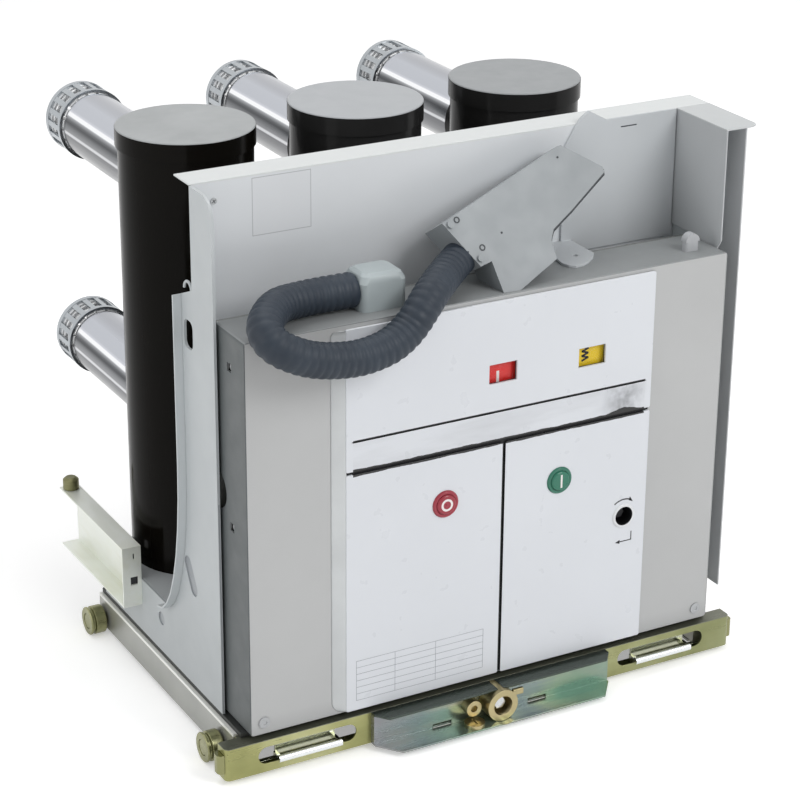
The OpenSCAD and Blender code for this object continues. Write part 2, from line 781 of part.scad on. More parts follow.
module pole_caps() {
    inner = pole_d / 2 - pole_wall;
    color("darkgray") for (x = pole_x) translate([x, pole_y, pole_top_z - cap_t]) {
        cylinder(d1 = cap_d, d2 = cap_d - 2, h = cap_t);
        translate([0, 0, -4]) cylinder(r = inner - fit, h = 4);
    }
}

bottle_z = lower_arm_z + 42;
bottle_top = arm_z[1] - 42;
meet_z = (bottle_z + bottle_top) / 2;      // where the contacts meet

module terminal_blocks() {
    color("peru") for (x = pole_x) {
        difference() {
            block([x - 30, pole_y - 26, arm_z[0] - 30], [x + 30, arm_start, arm_z[0] + 30]);
            translate([x, pole_y, arm_z[0] - 40]) cylinder(d = stem_d + 2 * run, h = 80);
        }
        block([x - 30, pole_y - 26, arm_z[1] - 30], [x + 30, arm_start, arm_z[1] + 30]);
        translate([x, pole_y, bottle_top]) cylinder(d = 40, h = arm_z[1] - 30 - bottle_top);
        translate([x, pole_y, arm_z[1] + 30]) cylinder(d = 44, h = pole_top_z - cap_t - 4 - arm_z[1] - 30);
    }
}

module vacuum_bottles() {
    wall = 6;
    color("ivory") for (x = pole_x) translate([x, pole_y, 0]) {
        difference() {
            union() {
                translate([0, 0, bottle_z]) cylinder(d = bottle_d, h = bottle_top - bottle_z);
                for (z = [bottle_z + 18, bottle_top - 24])
                    translate([0, 0, z]) cylinder(d = bottle_d + 6, h = 6);
            }
            translate([0, 0, bottle_z + wall])
                cylinder(d = bottle_d - 2 * wall, h = bottle_top - bottle_z - 2 * wall);
            translate([0, 0, bottle_z - 1]) cylinder(d = stem_d + 2 * run, h = wall + 2);
        }
        translate([0, 0, meet_z + 0.1]) cylinder(d = 52, h = 10);
        translate([0, 0, meet_z + 10]) cylinder(d = 24, h = bottle_top - wall - meet_z - 10);
        difference() {
            translate([0, 0, bottle_z - 12]) cylinder(d = 60, h = 12);
            translate([0, 0, bottle_z - 13]) cylinder(d = stem_d + 2 * run, h = 14);
        }
    }
}

// Moving contact of one pole: contact disc, stem, spring cup, insulating rod and cross pin
module moving_contact(x) {
    color("chocolate") translate([x, pole_y, 0]) {
        translate([0, 0, meet_z - 10]) cylinder(d = 52, h = 10);
        translate([0, 0, rod_top_z]) cylinder(d = stem_d, h = meet_z - 9 - rod_top_z);
        translate([0, 0, rod_top_z - 30]) cylinder(d = 44, h = 30);
        for (i = [0:3])
            translate([0, 0, rod_top_z - 90 + 15 * i]) cylinder(d1 = 34, d2 = 40, h = 15);
        difference() {
            translate([0, 0, rod_pin_z - 12]) cylinder(d = 26, h = rod_top_z - 90 - rod_pin_z + 12);
            translate([-6.5, -14, rod_pin_z - 14]) cube([13, 28, 34]);
        }
        translate([-13, 0, rod_pin_z]) rotate([0, 90, 0]) cylinder(d = 10, h = 26);
    }
}

module contact_left() { moving_contact(pole_x[0]); }
module contact_middle() { moving_contact(pole_x[1]); }
module contact_right() { moving_contact(pole_x[2]); }

module contact_arms() {
    recess = 6;
    stub_end = cluster_y + 20;
    color("gainsboro") for (x = pole_x, z = arm_z) {
        difference() {
            union() {
                along_y(x, arm_start, z, arm_d, cluster_y - 6 - arm_start);
                along_y(x, cluster_y - 6, z, cluster_bore - 1, 26);
            }
            along_y(x, stub_end - recess, z, 30, 2 * recess);
        }
        translate([x, stub_end - recess, z]) rotate([-90, 0, 0]) cylinder(d = 20, h = recess - 1, $fn = 6);
    }
}

// Section of a finger along its length, as [y, radius]
finger_section = [[0, cluster_d / 2 - 8], [0, cluster_d / 2 - 2], [3, cluster_d / 2], [8, cluster_d / 2],
                  [8, cluster_d / 2 - 4], [finger_l - 14, cluster_d / 2 - 4], [finger_l - 14, cluster_d / 2],
                  [finger_l - 3, cluster_d / 2], [finger_l, cluster_d / 2 - 3], [finger_l, cluster_bore / 2 + 2],
                  [finger_l - 4, cluster_bore / 2], [finger_l - 12, cluster_bore / 2],
                  [finger_l - 16, cluster_bore / 2 + 4], [20, cluster_bore / 2 + 4],
                  [18, cluster_bore / 2 - 0.4], [2, cluster_bore / 2 - 0.4], [2, cluster_bore / 2 + 4]];

module cluster_fingers() {
    share = 360 / finger_n;
    color("silver") for (x = pole_x, z = arm_z) translate([x, cluster_y, z]) rotate([-90, 0, 0])
        for (i = [0:finger_n - 1])
            rotate((i + 0.5) * share - 0.36 * share)
                rotate_extrude(angle = 0.72 * share)
                    polygon([for (p = finger_section) [p[1], p[0]]]);
}

module cluster_cages() {
    inner = cluster_d + 0.4;
    color("gainsboro") for (x = pole_x, z = arm_z) translate([x, cluster_y, z]) rotate([-90, 0, 0]) {
        for (h = [[0.5, 6], [finger_l - 9, 7]]) translate([0, 0, h[0]]) difference() {
            cylinder(d = cage_d, h = h[1]);
            translate([0, 0, -1]) cylinder(d = inner, h = h[1] + 2);
        }
        for (i = [0:finger_n - 1]) rotate(i * 360 / finger_n) translate([inner / 2 + 0.1, -3.2, 6])
            cube([2.4, 6.4, finger_l - 14]);
    }
}

module cluster_springs() {
    wire = 4;
    color("gray") for (x = pole_x, z = arm_z, h = [14, finger_l - 19])
        translate([x, cluster_y + h, z]) rotate([-90, 0, 0]) rotate_extrude()
            translate([cluster_d / 2 - 4 + wire / 2, 0]) circle(d = wire, $fn = 16);
}

// ---- main shaft -----------------------------------------------------------------------

module main_shaft() {
    half = frame_x - plate_t - 2;
    color("dimgray") {
        along_x(-half, shaft_y, shaft_z, shaft_d, 2 * half);
        for (x = pole_x) difference() {
            translate([x - 6, 0, 0]) rotate([90, 0, 90]) linear_extrude(12)
                polygon([[shaft_y, shaft_z + 20], [shaft_y - 18, shaft_z + 8], [shaft_y - 18, shaft_z - 8],
                         [shaft_y, shaft_z - 20], [pole_y + 4, shaft_z - 11], [pole_y + 12, shaft_z - 5.8],
                         [pole_y + 12, shaft_z + 5.8], [pole_y + 4, shaft_z + 11]]);
            block([x - 7, pole_y - 7, shaft_z - 5.6], [x + 7, pole_y + 20, shaft_z + 5.6]);
        }
    }
}

module shaft_bearings() {
    color("darkgoldenrod") for (s = [0, 1]) mirror([s, 0, 0]) difference() {
        along_x(-frame_x + plate_t, shaft_y, shaft_z, shaft_d + 16, 14);
        along_x(-frame_x + plate_t - 1, shaft_y, shaft_z, shaft_d + 2 * run, 16);
    }
}

// ---- shutter rails, hose fitting and plug ---------------------------------------------

// Left-hand rail, a channel bolted to the outside of the frame's arm and open outwards
module shutter_rail() {
    high = shutter_z + shutter_h;
    edge = frame_x + shutter_d;
    back = shutter_y + shutter_l;
    color("lightgoldenrodyellow") difference() {
        union() {
            block([-frame_x - sheet_t, shutter_y, shutter_z], [-frame_x, back, high]);
            for (z = [shutter_z, high - sheet_t])
                block([-edge, shutter_y, z], [-frame_x, back, z + sheet_t]);
            block([-edge, shutter_y, shutter_z], [-frame_x, shutter_y + sheet_t, high]);
        }
        upright(shutter_y - 1, 4) translate([-frame_x - 9, shutter_z + 32]) square([9, 10], center = true);
        upright(shutter_y - 1, 4) translate([-frame_x - 9, high - 12]) square([2, 7], center = true);
        sideways(-frame_x - 3, 4)
            translate([shutter_y + 40, shutter_z + 50]) square(10, center = true);
        translate([-edge + 11, back - 10, high - 10]) cylinder(d = 8, h = 20);
    }
}

module shutter_rails() {
    shutter_rail();
    mirror([1, 0, 0]) shutter_rail();
}

module guide_roller() {
    high = shutter_z + shutter_h;
    color("darkolivegreen")
        translate([-frame_x - shutter_d + 11, shutter_y + shutter_l - 10, high]) {
            translate([0, 0, fit]) cylinder(d = 19, h = 12);
            translate([0, 0, 12 + fit]) cylinder(d1 = 19, d2 = 12, h = 3);
            translate([0, 0, -5]) cylinder(d = 8 - 2 * run, h = 6);
        }
}

module guide_roller_left() { guide_roller(); }
module guide_roller_right() { mirror([1, 0, 0]) guide_roller(); }

module hose_fitting() {
    start = hose_path[0];
    wide = 54;
    color("lightslategray") difference() {
        translate([start[0] + wide / 2, start[1] + 2, cover_top]) hull() {
            linear_extrude(30) polygon(round_outline(wide, 46, 9));
            linear_extrude(37) polygon(round_outline(wide - 7, 39, 8));
            linear_extrude(40) polygon(round_outline(wide - 16, 30, 8));
        }
        along_x(start[0] - 1, start[1], start[2], hose_d - 8, 5);
    }
}

// Sheet beside the plug with a pointed top, and the nose that lies on the cover
module parking_socket() {
    front = plate_y - 3;
    right = cover_w / 2 - 2;
    color("lightsteelblue") difference() {
        union() {
            upright(front, 3) polygon([[145, cover_top - 12], [145, rim_z - 26], [165, rim_z + 6],
                [176, rim_z + 13], [200, rim_z], [right, rim_z], [right, cover_top - 12]]);
            translate([0, cover_y, cover_top]) linear_extrude(3)
                polygon([[112, 110], [112, 64], [109, 48], [112, 38], [118, 33], [128, 34], [138, 39],
                         [150, 49], [158, 60], [158, 110]]);
        }
        translate([135, cover_y + 62, cover_top - 1]) cylinder(d = 6, h = 6);
        upright(front - 1, 2) translate([229, rim_z - 11]) square([21, 1.6], center = true);
    }
}

module cover_peg() {
    color("whitesmoke") translate([cover_w / 2 - 33, cover_y + 25, cover_top]) {
        linear_extrude(12) polygon(round_outline(18, 10, 4));
        translate([0, 5, 11]) rotate([90, 0, 0]) intersection() {
            cylinder(d = 18, h = 10);
            translate([-9, 0, 0]) cube([18, 9, 10]);
        }
    }
}

// Guide points of the hose, from the fitting round the cover's front edge into the plug.
// They are measured from the middle of the cover's top front edge.
hose_guide = [[-151, 39, 20], [-186, 40, 20], [-217, 36.5, 20.5], [-247, 22.5, 23], [-274.5, -8.5, 18.5],
              [-278, -27, 8.5], [-262, -36, -3], [-232, -37, -16], [-190, -35, -23.5], [-160, -32.5, -22],
              [-138.5, -28.5, -17.5], [-118, -23, -7], [-103.8, -20.5, 8], [-80.5, -4.5, 21],
              [-50, 23, 25.5], [-19.8, 45.6, 31.8]];
hose_path = [for (p = hose_guide) p + [0, cover_y, cover_top]];
plug_lean = 58.5;
plug_face = [0, cover_y + 4, cover_top + 1.5];
plug_t = 42;
plug_aim = [0.85, 0.527];
hose_sides = 12;

function unit(v) = v / norm(v);

// Point on a smooth curve through four guide points, t running from 0 to 1
function smooth(a, b, c, d, t) =
    0.5 * (2 * b + (c - a) * t + (2 * a - 5 * b + 4 * c - d) * t * t
           + (3 * b - a - 3 * c + d) * t * t * t);

// Same curve through the whole path, k points to every stretch
function smooth_path(p, k) = let (n = len(p)) concat(
    [for (i = [0:n - 2], j = [0:k - 1])
        smooth(p[max(i - 1, 0)], p[i], p[i + 1], p[min(i + 2, n - 1)], j / k)], [p[n - 1]]);

// Sideways directions carried along the curve without twist
function carried(tan, first) =
    [for (i = 0, u = first; i < len(tan);
          i = i + 1, u = i < len(tan) ? unit(u - tan[i] * (u * tan[i])) : u) u];

module tube_along(p, d, first_tan, last_tan) {
    n = len(p);
    tan = [for (i = [0:n - 1]) i == 0 ? first_tan : i == n - 1 ? last_tan : unit(p[i + 1] - p[i - 1])];
    across = carried(tan, [0, 0, 1]);
    rings = [for (i = [0:n - 1], k = [0:hose_sides - 1])
        let (a = k * 360 / hose_sides, side = cross(tan[i], across[i]))
        p[i] + d / 2 * (cos(a) * across[i] + sin(a) * side)];
    m = hose_sides;
    polyhedron(rings, concat(
        [[for (k = [0:m - 1]) k]],
        [for (i = [0:n - 2], k = [0:m - 1])
            [i * m + k, (i + 1) * m + k, (i + 1) * m + (k + 1) % m, i * m + (k + 1) % m]],
        [[for (k = [m - 1:-1:0]) (n - 1) * m + k]]));
}

module control_hose() {
    last_tan = unit([plug_aim[0], plug_aim[1] * cos(plug_lean), plug_aim[1] * sin(plug_lean)]);
    line = smooth_path(hose_path, 2);
    color("darkslategray") tube_along(line, hose_d, [-1, 0, 0], last_tan);
}

// Face of the plug in its own leaning plane, as [across, up the slope]
plug_end = [-25, 56];
plug_side = [-plug_aim[1], plug_aim[0]];
plug_outline = [[82.5, 24], [30.3, -1.7], [9.5, -1.5], [5, 34],
                plug_end - 30 * plug_side, plug_end + 31 * plug_side,
                [118, 144], [123, 144.7], [167, 114], [168, 108], [116, 73], [88, 56], [82, 45]];

module plug_shell() {
    color("lightslategray") intersection() {
        translate(plug_face) rotate([plug_lean, 0, 0]) {
            translate([0, 0, -plug_t]) linear_extrude(plug_t) polygon(plug_outline);
            for (s = [-24, 24]) translate(plug_end + s * plug_side + 6 * plug_aim)
                cylinder(d = 8, h = 3);
        }
        block([-200, cover_y - 20, cover_top], [290, plate_y - 3, cover_top + 180]);
    }
}

chassis_frame();
deck_plate();
racking_nut();
wheel_axles();
wheel_front_left();
wheel_front_right();
wheel_rear_left();
wheel_rear_right();
front_beam();
beam_slides();
racking_tray();
crank_cup();
key_disc();
racking_screw();
latch_left();
latch_right();
side_frame_left();
side_frame_right();
mechanism_wall();
upper_plate();
right_wing();
front_cover();
panel_gasket();
upper_panel();
lower_panels();
window_lenses();
button_collars();
stop_button();
close_button();
charging_socket();
charging_shaft();
position_flag();
spring_flag();
flag_guides();
cover_screws();
mechanism_cheeks();
spring_motor();
magnet_coils();
pole_beam();
pole_cylinders();
pole_caps();
terminal_blocks();
vacuum_bottles();
contact_arms();
cluster_fingers();
cluster_cages();
cluster_springs();
contact_left();
contact_middle();
contact_right();
main_shaft();
shaft_bearings();
shutter_rails();
guide_roller_left();
guide_roller_right();
hose_fitting();
parking_socket();
cover_peg();
control_hose();
plug_shell();
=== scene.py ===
import math
import json
import bpy
import bmesh
from mathutils import Vector, Matrix


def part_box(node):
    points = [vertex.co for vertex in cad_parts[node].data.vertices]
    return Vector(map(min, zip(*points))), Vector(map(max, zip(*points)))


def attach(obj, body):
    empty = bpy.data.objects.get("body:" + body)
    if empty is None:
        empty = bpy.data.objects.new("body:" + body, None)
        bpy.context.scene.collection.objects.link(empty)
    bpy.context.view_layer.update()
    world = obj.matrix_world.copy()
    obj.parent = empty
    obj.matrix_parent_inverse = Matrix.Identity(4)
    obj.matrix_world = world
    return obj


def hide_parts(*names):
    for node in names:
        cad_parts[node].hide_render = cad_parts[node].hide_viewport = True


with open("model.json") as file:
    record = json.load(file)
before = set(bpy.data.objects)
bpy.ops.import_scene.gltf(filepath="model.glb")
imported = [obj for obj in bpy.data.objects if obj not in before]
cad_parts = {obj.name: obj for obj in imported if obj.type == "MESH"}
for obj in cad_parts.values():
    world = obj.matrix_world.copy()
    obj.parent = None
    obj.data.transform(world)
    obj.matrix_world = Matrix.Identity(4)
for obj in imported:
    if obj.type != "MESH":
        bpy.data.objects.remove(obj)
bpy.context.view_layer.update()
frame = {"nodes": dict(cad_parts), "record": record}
nodes = frame["nodes"]
bodyOf = {n: b for b, members in frame["record"]["behaviour"]["bodies"].items() for n in members}


# camera

cameraView = {"place": (-1.2638, -2.3731, 1.4085), "yaw": 28.94, "pitch": 22.94, "roll": 0.44,
              "lens": 111.5, "sensor": 36, "clip": (0.05, 60)}


def makeCamera(v):
    yaw, pitch, roll = (math.radians(v[k]) for k in ("yaw", "pitch", "roll"))
    forward = Vector((math.sin(yaw) * math.cos(pitch), math.cos(yaw) * math.cos(pitch), -math.sin(pitch)))
    level = Vector((math.cos(yaw), -math.sin(yaw), 0))
    upright = level.cross(forward)
    right = level * math.cos(roll) + upright * math.sin(roll)
    up = upright * math.cos(roll) - level * math.sin(roll)
    data = bpy.data.cameras.new("camera")
    data.lens, data.sensor_width = v["lens"], v["sensor"]
    data.clip_start, data.clip_end = v["clip"]
    camera = bpy.data.objects.new("camera", data)
    bpy.context.collection.objects.link(camera)
    camera.matrix_world = Matrix((
        (right.x, up.x, -forward.x, v["place"][0]),
        (right.y, up.y, -forward.y, v["place"][1]),
        (right.z, up.z, -forward.z, v["place"][2]),
        (0, 0, 0, 1)))
    bpy.context.scene.camera = camera


makeCamera(cameraView)
print("camera:", cameraView["lens"], "mm")


# shader maths: a Val is one socket of a node tree, and expressions on it add the nodes

class Val:
    def __init__(self, graph, socket):
        self.graph, self.socket = graph, socket

    def out(self, name):
        return Val(self.graph, self.socket.node.outputs[name])

    def op(self, operation, a, b=None):
        ins = {0: a} if b is None else {0: a, 1: b}
        return self.graph.node("ShaderNodeMath", {"operation": operation}, ins)

    def __add__(self, o):
        return self.op("ADD", self, o)

    def __radd__(self, o):
        return self.op("ADD", o, self)

    def __sub__(self, o):
        return self.op("SUBTRACT", self, o)

    def __rsub__(self, o):
        return self.op("SUBTRACT", o, self)

    def __mul__(self, o):
        return self.op("MULTIPLY", self, o)

    def __rmul__(self, o):
        return self.op("MULTIPLY", o, self)

    def __truediv__(self, o):
        return self.op("DIVIDE", self, o)

    def __rtruediv__(self, o):
        return self.op("DIVIDE", o, self)

    def __pow__(self, o):
        return self.op("POWER", self, o)

    def __rpow__(self, o):
        return self.op("POWER", o, self)

    def __gt__(self, o):
        return self.op("GREATER_THAN", self, o)

    def __lt__(self, o):
        return self.op("LESS_THAN", self, o)

    def __abs__(self):
        return self.op("ABSOLUTE", self)


class Graph:
    def __init__(self, tree):
        self.tree = tree

    def node(self, kind, settings=None, ins=None, out=0):
        n = self.tree.nodes.new(kind)
        for key, value in (settings or {}).items():
            if key == "stops":
                ramp = n.color_ramp
                while len(ramp.elements) < len(value):
                    ramp.elements.new(0.5)
                for e, (place, c) in zip(ramp.elements, value):
                    e.position, e.color = place, (*c, 1)
            else:
                setattr(n, key, value)
        for key, value in (ins or {}).items():
            if isinstance(value, Val):
                self.tree.links.new(value.socket, n.inputs[key])
            else:
                n.inputs[key].default_value = value
        return Val(self, n.outputs[out]) if len(n.outputs) else None


class Finish(Graph):
    def __init__(self, name, color, roughness, metallic=0.0, **extra):
        self.mat = bpy.data.materials.new(name)
        self.mat.use_nodes = True
        super().__init__(self.mat.node_tree)
        self.bsdf = self.tree.nodes["Principled BSDF"]
        self.coords = None
        self.axes = None
        self.set("Base Color", (*color, 1))
        self.set("Roughness", roughness)
        self.set("Metallic", metallic)
        for key, value in extra.items():
            self.set(key.replace("_", " "), value)

    def set(self, name, value):
        socket = self.bsdf.inputs[name]
        if isinstance(value, Val):
            self.tree.links.new(value.socket, socket)
        else:
            socket.default_value = value

    def place(self, stretch=(1, 1, 1)):
        if self.coords is None:
            self.coords = self.node("ShaderNodeTexCoord", out="Object")
        if stretch == (1, 1, 1):
            return self.coords
        return self.node("ShaderNodeMapping", {}, {"Vector": self.coords, "Scale": stretch})

    def axis(self, name):
        if self.axes is None:
            self.axes = self.node("ShaderNodeSeparateXYZ", {}, {0: self.place()})
        return self.axes.out(name)

    def within(self, name, low, high):
        return (self.axis(name) > low) * (self.axis(name) < high)

    def noise(self, scale, detail=3.0, stretch=(1, 1, 1), rough=0.5):
        return self.node("ShaderNodeTexNoise", {}, {"Vector": self.place(stretch), "Scale": scale,
                                                    "Detail": detail, "Roughness": rough})

    def spread(self, value, low, high, toLow=0.0, toHigh=1.0):
        return self.node("ShaderNodeMapRange", {}, {0: value, 1: low, 2: high, 3: toLow, 4: toHigh})

    def mix(self, mask, a, b):
        a = (*a, 1) if isinstance(a, tuple) and len(a) == 3 else a
        b = (*b, 1) if isinstance(b, tuple) and len(b) == 3 else b
        return self.node("ShaderNodeMix", {"data_type": "RGBA"}, {0: mask, 6: a, 7: b}, 2)

    def tint(self, color):
        self.color = color
        self.set("Base Color", color)

    def repaint(self, mask, color):
        self.tint(self.mix(mask, self.color, color))

    def bump(self, height, strength, distance=0.001):
        self.set("Normal", self.node("ShaderNodeBump", {}, {"Height": height, "Strength": strength,
                                                            "Distance": distance}))


def srgb(*c):
    return tuple((v / 255 / 12.92 if v <= 10 else ((v / 255 + 0.055) / 1.055) ** 2.4) for v in c)


def shade(color, k):
    return tuple(min(1.0, v * k) for v in color)


def middle(box):
    return [(a + b) / 2 for a, b in zip(box[0], box[1])]


# sizes that the finishes and details need, from the frame

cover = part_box("front_cover")
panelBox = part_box("lower_panels")
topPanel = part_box("upper_panel")
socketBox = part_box("charging_socket")
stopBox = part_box("stop_button")
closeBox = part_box("close_button")
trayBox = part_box("racking_tray")
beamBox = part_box("front_beam")
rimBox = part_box("upper_plate")
rimTop = rimBox[1][2]
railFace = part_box("pole_beam")[1][0] + 0.003   # outer face of the side frames
plateFace = cover[0][1] + 0.11                 # front of the upper plate
panelJoint = middle(panelBox)[0] + 0.002       # line between the two lower panels
armRadius = 0.0395
plugLean = math.radians(58.5)                  # slope of the plug's front from level


# painted sheet

def paint(name, color, rough=0.42, grain=0.1, dirt=0.06):
    f = Finish(name, color, rough)
    clouds = f.spread(f.noise(6, 4), 0.3, 0.75)
    f.tint(f.mix(clouds, shade(color, 1 - dirt), shade(color, 1 + dirt * 0.4)))
    f.set("Roughness", f.spread(f.noise(40, 3), 0.3, 0.7, rough - 0.06, rough + 0.08))
    f.bump(f.noise(900, 2), grain, 0.0004)
    return f


def coverFinish(name):
    f = paint(name, srgb(185, 186, 186), 0.46)
    skin, footHeight = 0.0012, 0.02
    # painted shade: the top and both sides of the cover are the same paint as its front, painted darker as
    # shade
    f.repaint(f.axis("Z") > cover[1][2] - skin, srgb(140, 143, 144))   # top
    f.repaint(f.axis("X") < cover[0][0] + skin, srgb(86, 91, 92))      # left side
    f.repaint(f.axis("X") > cover[1][0] - skin, srgb(150, 152, 152))   # right side
    # painted shade: darker towards the cover's foot, as shade above the deck
    footShade = f.spread(f.axis("Z"), cover[0][2], cover[0][2] + footHeight, 1.0, 0.0)
    f.repaint(footShade * 0.25, srgb(120, 122, 122))
    return f.mat


def wingFinish(name):
    f = paint(name, srgb(184, 187, 189), 0.44)
    # painted light: the outer wall and the top of the rim are the wing's own paint, painted lighter as light
    # on them
    f.repaint(f.axis("X") > cover[1][0] + 0.02, srgb(206, 208, 210))   # outer wall
    f.repaint(f.axis("Z") > rimTop - 0.0012, srgb(192, 195, 196))      # top of its rim
    return f.mat


def frameFinish(name):
    f = paint(name, srgb(191, 196, 198))
    # painted shade: the floors of the embossings darker, as shade in the hollows
    floor = f.within("X", 0.0008 - railFace, 0.0022 - railFace) * (f.axis("Z") < 0.3)
    f.repaint(floor, srgb(158, 162, 166))                              # floors of the embossings
    # painted light: the left frame's outward flange lighter, as light on it
    f.repaint(f.axis("X") < -railFace - 0.001, srgb(206, 211, 213))    # flange
    # painted shade: darker towards the foot of the frames
    footShade = f.spread(f.axis("Z"), 0.08, 0.2, 1.0, 0.0)
    f.repaint(footShade * 0.6, srgb(170, 175, 177))
    return f.mat


# bare outline on the upper plate, from the left side frame's middle and down from the rim
outlineMake = {"across": (0.064, 0.132), "down": (0.067, 0.004), "line": 0.0009}


def rimFinish(name, m):
    f = paint(name, srgb(219, 222, 225), 0.42)
    # painted shade: the top of the rim a little darker than its face, as shade
    f.repaint(f.axis("Z") > rimTop - 0.0022, srgb(214, 217, 217))
    edge, start = m["line"], middle(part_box("side_frame_left"))[0]
    left, right = (start + v for v in m["across"])
    low, high = (rimTop - v for v in m["down"])
    whole = f.within("X", left, right) * f.within("Z", low, high)
    inside = f.within("X", left + edge, right - edge) * f.within("Z", low + edge, high - edge)
    face = f.axis("Y") < plateFace + 0.0008
    f.repaint((whole - inside) * face * 0.6, srgb(146, 148, 152))
    f.repaint(inside * face * 0.4, srgb(216, 218, 221))
    return f.mat


# white panels: black joints drawn a little ragged, and a streaked strip with a worn patch
panelMake = {"margin": 0.008, "strip": 0.0333, "groove": 0.0014, "lift": 0.0006, "patch": 0.035,
             "patchReach": 0.03, "joint": 0.0019, "upperGap": 0.0012, "lowerGap": 0.0014}
ink = srgb(22, 22, 24)


def panelPaint(name, box, m):
    f = paint(name, srgb(219, 222, 227), 0.32, 0.04, 0.025)
    wide = f.within("X", box[0][0] + m["margin"], box[1][0] - m["margin"])
    return f, wide, f.noise(55, 4)


def upperPanelFinish(name, m):
    f, wide, smudge = panelPaint(name, topPanel, m)
    low, groove = topPanel[0][2], topPanel[0][2] + m["strip"]
    strip = f.within("Z", low, groove)
    streaks = f.spread(f.noise(7, 4, (1, 1, 5)), 0.42, 0.62)
    f.repaint(strip * wide * streaks * 0.5, srgb(188, 190, 194))
    near = f.spread(abs(f.axis("X") - (topPanel[1][0] - m["patch"])), 0.0, m["patchReach"], 1.0, 0.0)
    f.repaint(strip * near * f.spread(smudge, 0.35, 0.6) * 0.75, srgb(110, 112, 116))
    f.repaint(wide * (abs(f.axis("Z") - groove - m["lift"]) < m["groove"]), ink)
    ragged = low + m["upperGap"] + f.spread(smudge, 0.3, 0.7, 0.0, 0.0016)
    f.repaint(wide * (f.axis("Z") < ragged + f.spread(near, 0.2, 1.0, 0.0, 0.005)), ink)
    return f.mat


def lowerPanelFinish(name, m):
    f, wide, smudge = panelPaint(name, panelBox, m)
    ragged = panelBox[1][2] - m["lowerGap"] - f.spread(smudge, 0.3, 0.7, 0.0, 0.0012)
    f.repaint(wide * (f.axis("Z") > ragged), ink)
    f.repaint(abs(f.axis("X") - panelJoint) < m["joint"], ink)
    return f.mat


# zinc plating: colours along a ramp, in clouds and rolled streaks

def plated(name, stops, rough=0.34, metallic=0.85, streak=(1, 1, 14), patch=5.0, scratch=0.15, share=0.25):
    f = Finish(name, stops[0][1], rough, metallic)
    clouds = f.noise(patch, 4, rough=0.55)
    rolled = f.noise(30, 3, streak)
    f.tint(f.node("ShaderNodeValToRGB", {"stops": stops}, {0: clouds * (1 - share) + rolled * share}))
    f.set("Roughness", f.spread(rolled, 0.25, 0.75, rough - 0.06, rough + 0.08))
    f.bump(rolled, scratch, 0.0003)
    return f


def beamFinish(name):
    stops = [(0.3, srgb(122, 124, 76)), (0.45, srgb(156, 156, 104)), (0.56, srgb(184, 184, 138)),
             (0.68, srgb(138, 142, 100))]
    f = plated(name, stops, 0.3, 0.7, (0.3, 3, 3), 6.0, 0.02, 0.1)
    # painted shade: the face darker towards the beam's right end
    f.repaint(f.spread(f.axis("X"), 0.0, beamBox[1][0], 0.0, 0.5), srgb(98, 108, 84))
    # painted shade: the top of the beam darker, under the cover's bottom edge
    f.repaint(f.axis("Z") > beamBox[1][2] - 0.0006, srgb(116, 118, 104))
    return f.mat


def trayFinish(name):
    stops = [(0.3, srgb(108, 132, 124)), (0.42, srgb(128, 152, 138)), (0.5, srgb(160, 168, 150)),
             (0.6, srgb(136, 146, 148)), (0.72, srgb(112, 124, 128))]
    f = plated(name, stops, 0.26, 0.75, (0.2, 3, 3), 6.0, 0.02, 0.3)
    left, right = trayBox[0][0], trayBox[1][0]
    leftEnd = f.spread(f.axis("X"), left, left + (right - left) * 0.4, 1.0, 0.0)
    veil = f.spread(f.noise(9, 3), 0.35, 0.65)
    f.repaint(leftEnd * 0.75, srgb(138, 130, 148))
    f.repaint(leftEnd * veil * 0.5, srgb(150, 158, 140))
    rightEnd = f.spread(f.axis("X"), right - (right - left) * 0.35, right)
    f.repaint(rightEnd * 0.6, srgb(118, 146, 132))
    # painted shade: the top flange dark, in the shade of the housing
    f.repaint(f.axis("Z") > trayBox[1][2] - 0.0025, srgb(70, 78, 72))
    return f.mat


def railFinish(name):
    stops = [(0.3, srgb(152, 153, 149)), (0.5, srgb(178, 179, 174)), (0.7, srgb(162, 162, 156))]
    f = plated(name, stops, 0.34, 0.65, (1, 6, 1), 5.0, 0.05, 0.15)
    low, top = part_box("chassis_frame")[0][2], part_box("chassis_frame")[1][2]
    # painted shade: the web darker towards the bottom of the rail
    height = f.spread(f.axis("Z"), low, top)
    f.repaint((1 - height) * 0.45, srgb(128, 129, 124))
    # painted highlight: a bright line along the top edge, less metallic so that it stays bright
    edge = f.axis("Z") > top - 0.0036
    f.repaint(edge, srgb(246, 247, 242))
    f.set("Metallic", 0.65 - edge * 0.5)
    return f.mat


# bare and silvered metal

def metal(name, color, rough=0.22, tarnish=0.2, stretch=(1, 18, 1), scale=60, metallic=1.0):
    f = Finish(name, color, rough, metallic)
    lines = f.noise(scale, 4, stretch)
    stain = f.spread(f.noise(9, 5), 0.42, 0.7)
    f.tint(f.mix(stain * tarnish, color, shade(color, 0.45)))
    f.set("Roughness", f.spread(lines, 0.3, 0.7, max(0.05, rough - 0.05), rough + 0.07) + stain * 0.06)
    f.bump(lines, 0.06, 0.0002)
    return f


